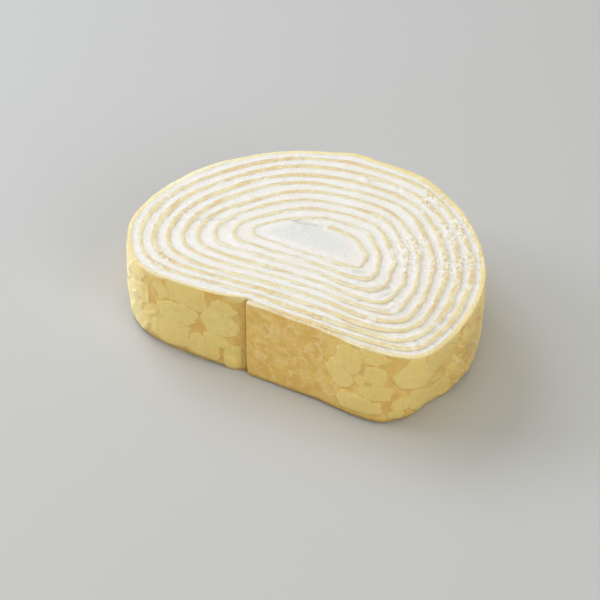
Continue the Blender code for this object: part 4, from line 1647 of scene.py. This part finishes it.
@dataclass
class Studio:
    """A pale floor, soft lights and the camera."""

    target: tuple[float, float, float] = (-0.00593, -0.00093, 0.0)
    azimuth: float = 28.0
    elevation: float = 41.3
    distance: float = 0.556
    lens: float = 120.0
    sensor: float = 36.0
    nearest: float = 0.01
    floor_size: float = 6.0
    sky: Colour = (1.0, 0.97, 0.85)
    sky_strength: float = 0.49
    lamps: tuple[Lamp, ...] = (
        Lamp("window", -140.0, 45.0, 2.6, (0.95, 1.0, 1.12)),
        Lamp("side_window", -104.0, 30.0, 1.9, (0.95, 1.0, 1.12)),
        Lamp("low_left", -110.0, 8.0, 3.7, (1.0, 1.0, 1.0)),
        Lamp("right_fill", 36.0, 32.0, 2.4, (1.0, 0.98, 0.92)),
        Lamp("ceiling", 0.0, 88.0, 0.6, (1.0, 0.99, 0.96)))

    @staticmethod
    def direction(azimuth: float, elevation: float) -> Vector:
        """Unit vector towards an azimuth and an elevation, in degrees."""
        turn, rise = math.radians(azimuth), math.radians(elevation)
        return Vector((math.sin(turn) * math.cos(rise), -math.cos(turn) * math.cos(rise),
                       math.sin(rise)))

    def add_camera(self) -> None:
        """Add the camera and look at the slice."""
        camera = bpy.data.objects.new("camera", bpy.data.cameras.new("camera"))
        camera.data.lens = self.lens
        camera.data.sensor_width = self.sensor
        camera.data.clip_start = self.nearest
        back = self.direction(self.azimuth, self.elevation)
        camera.location = Vector(self.target) + self.distance * back
        camera.rotation_euler = back.to_track_quat("Z", "Y").to_euler()
        bpy.context.scene.collection.objects.link(camera)
        bpy.context.scene.camera = camera

    def add_lamp(self, lamp: Lamp) -> None:
        """Add one soft light, aimed at the slice."""
        light = bpy.data.lights.new(lamp.name, "AREA")
        light.size = lamp.size
        light.energy = lamp.watts
        light.color = lamp.colour
        piece = bpy.data.objects.new(lamp.name, light)
        back = self.direction(self.azimuth + lamp.turned, lamp.raised)
        piece.location = lamp.away * back
        piece.rotation_euler = back.to_track_quat("Z", "Y").to_euler()
        bpy.context.scene.collection.objects.link(piece)

    def add_floor(self) -> None:
        """Add the floor that the slice lies on."""
        form = bmesh.new()
        bmesh.ops.create_grid(form, x_segments=8, y_segments=8, size=0.5 * self.floor_size)
        mesh = bpy.data.meshes.new("floor")
        form.to_mesh(mesh)
        form.free()
        mesh.materials.append(TableFinish().material())
        floor = bpy.data.objects.new("floor", mesh)
        bpy.context.scene.collection.objects.link(floor)

    def add_sky(self) -> None:
        """Light the scene softly from all round."""
        world = bpy.data.worlds.new("studio")
        world.use_nodes = True
        background = world.node_tree.nodes["Background"]
        background.inputs["Color"].default_value = (*self.sky, 1.0)
        background.inputs["Strength"].default_value = self.sky_strength
        bpy.context.scene.world = world

    def build(self) -> None:
        """Set the studio up."""
        self.add_floor()
        self.add_sky()
        for lamp in self.lamps:
            self.add_lamp(lamp)
        self.add_camera()
        bpy.context.scene.view_settings.view_transform = "Standard"


def main() -> None:
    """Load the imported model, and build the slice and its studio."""
    logging.basicConfig(level=logging.INFO, format="%(message)s")
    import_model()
    low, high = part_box("crepe")
    height = (high.z - low.z) / MM
    coil = Coil(height=height)
    middle = 0.5 * (low + high) / MM
    coil.middle = (coil.middle[0] - middle.x, coil.middle[1] - middle.y)
    cut = CutFace(height=height)

    CrepeSheet(coil, cut, BakedSide()).build()
    Cream(coil, cut).build()
    Studio().build()


if __name__ == "__main__":
    main()
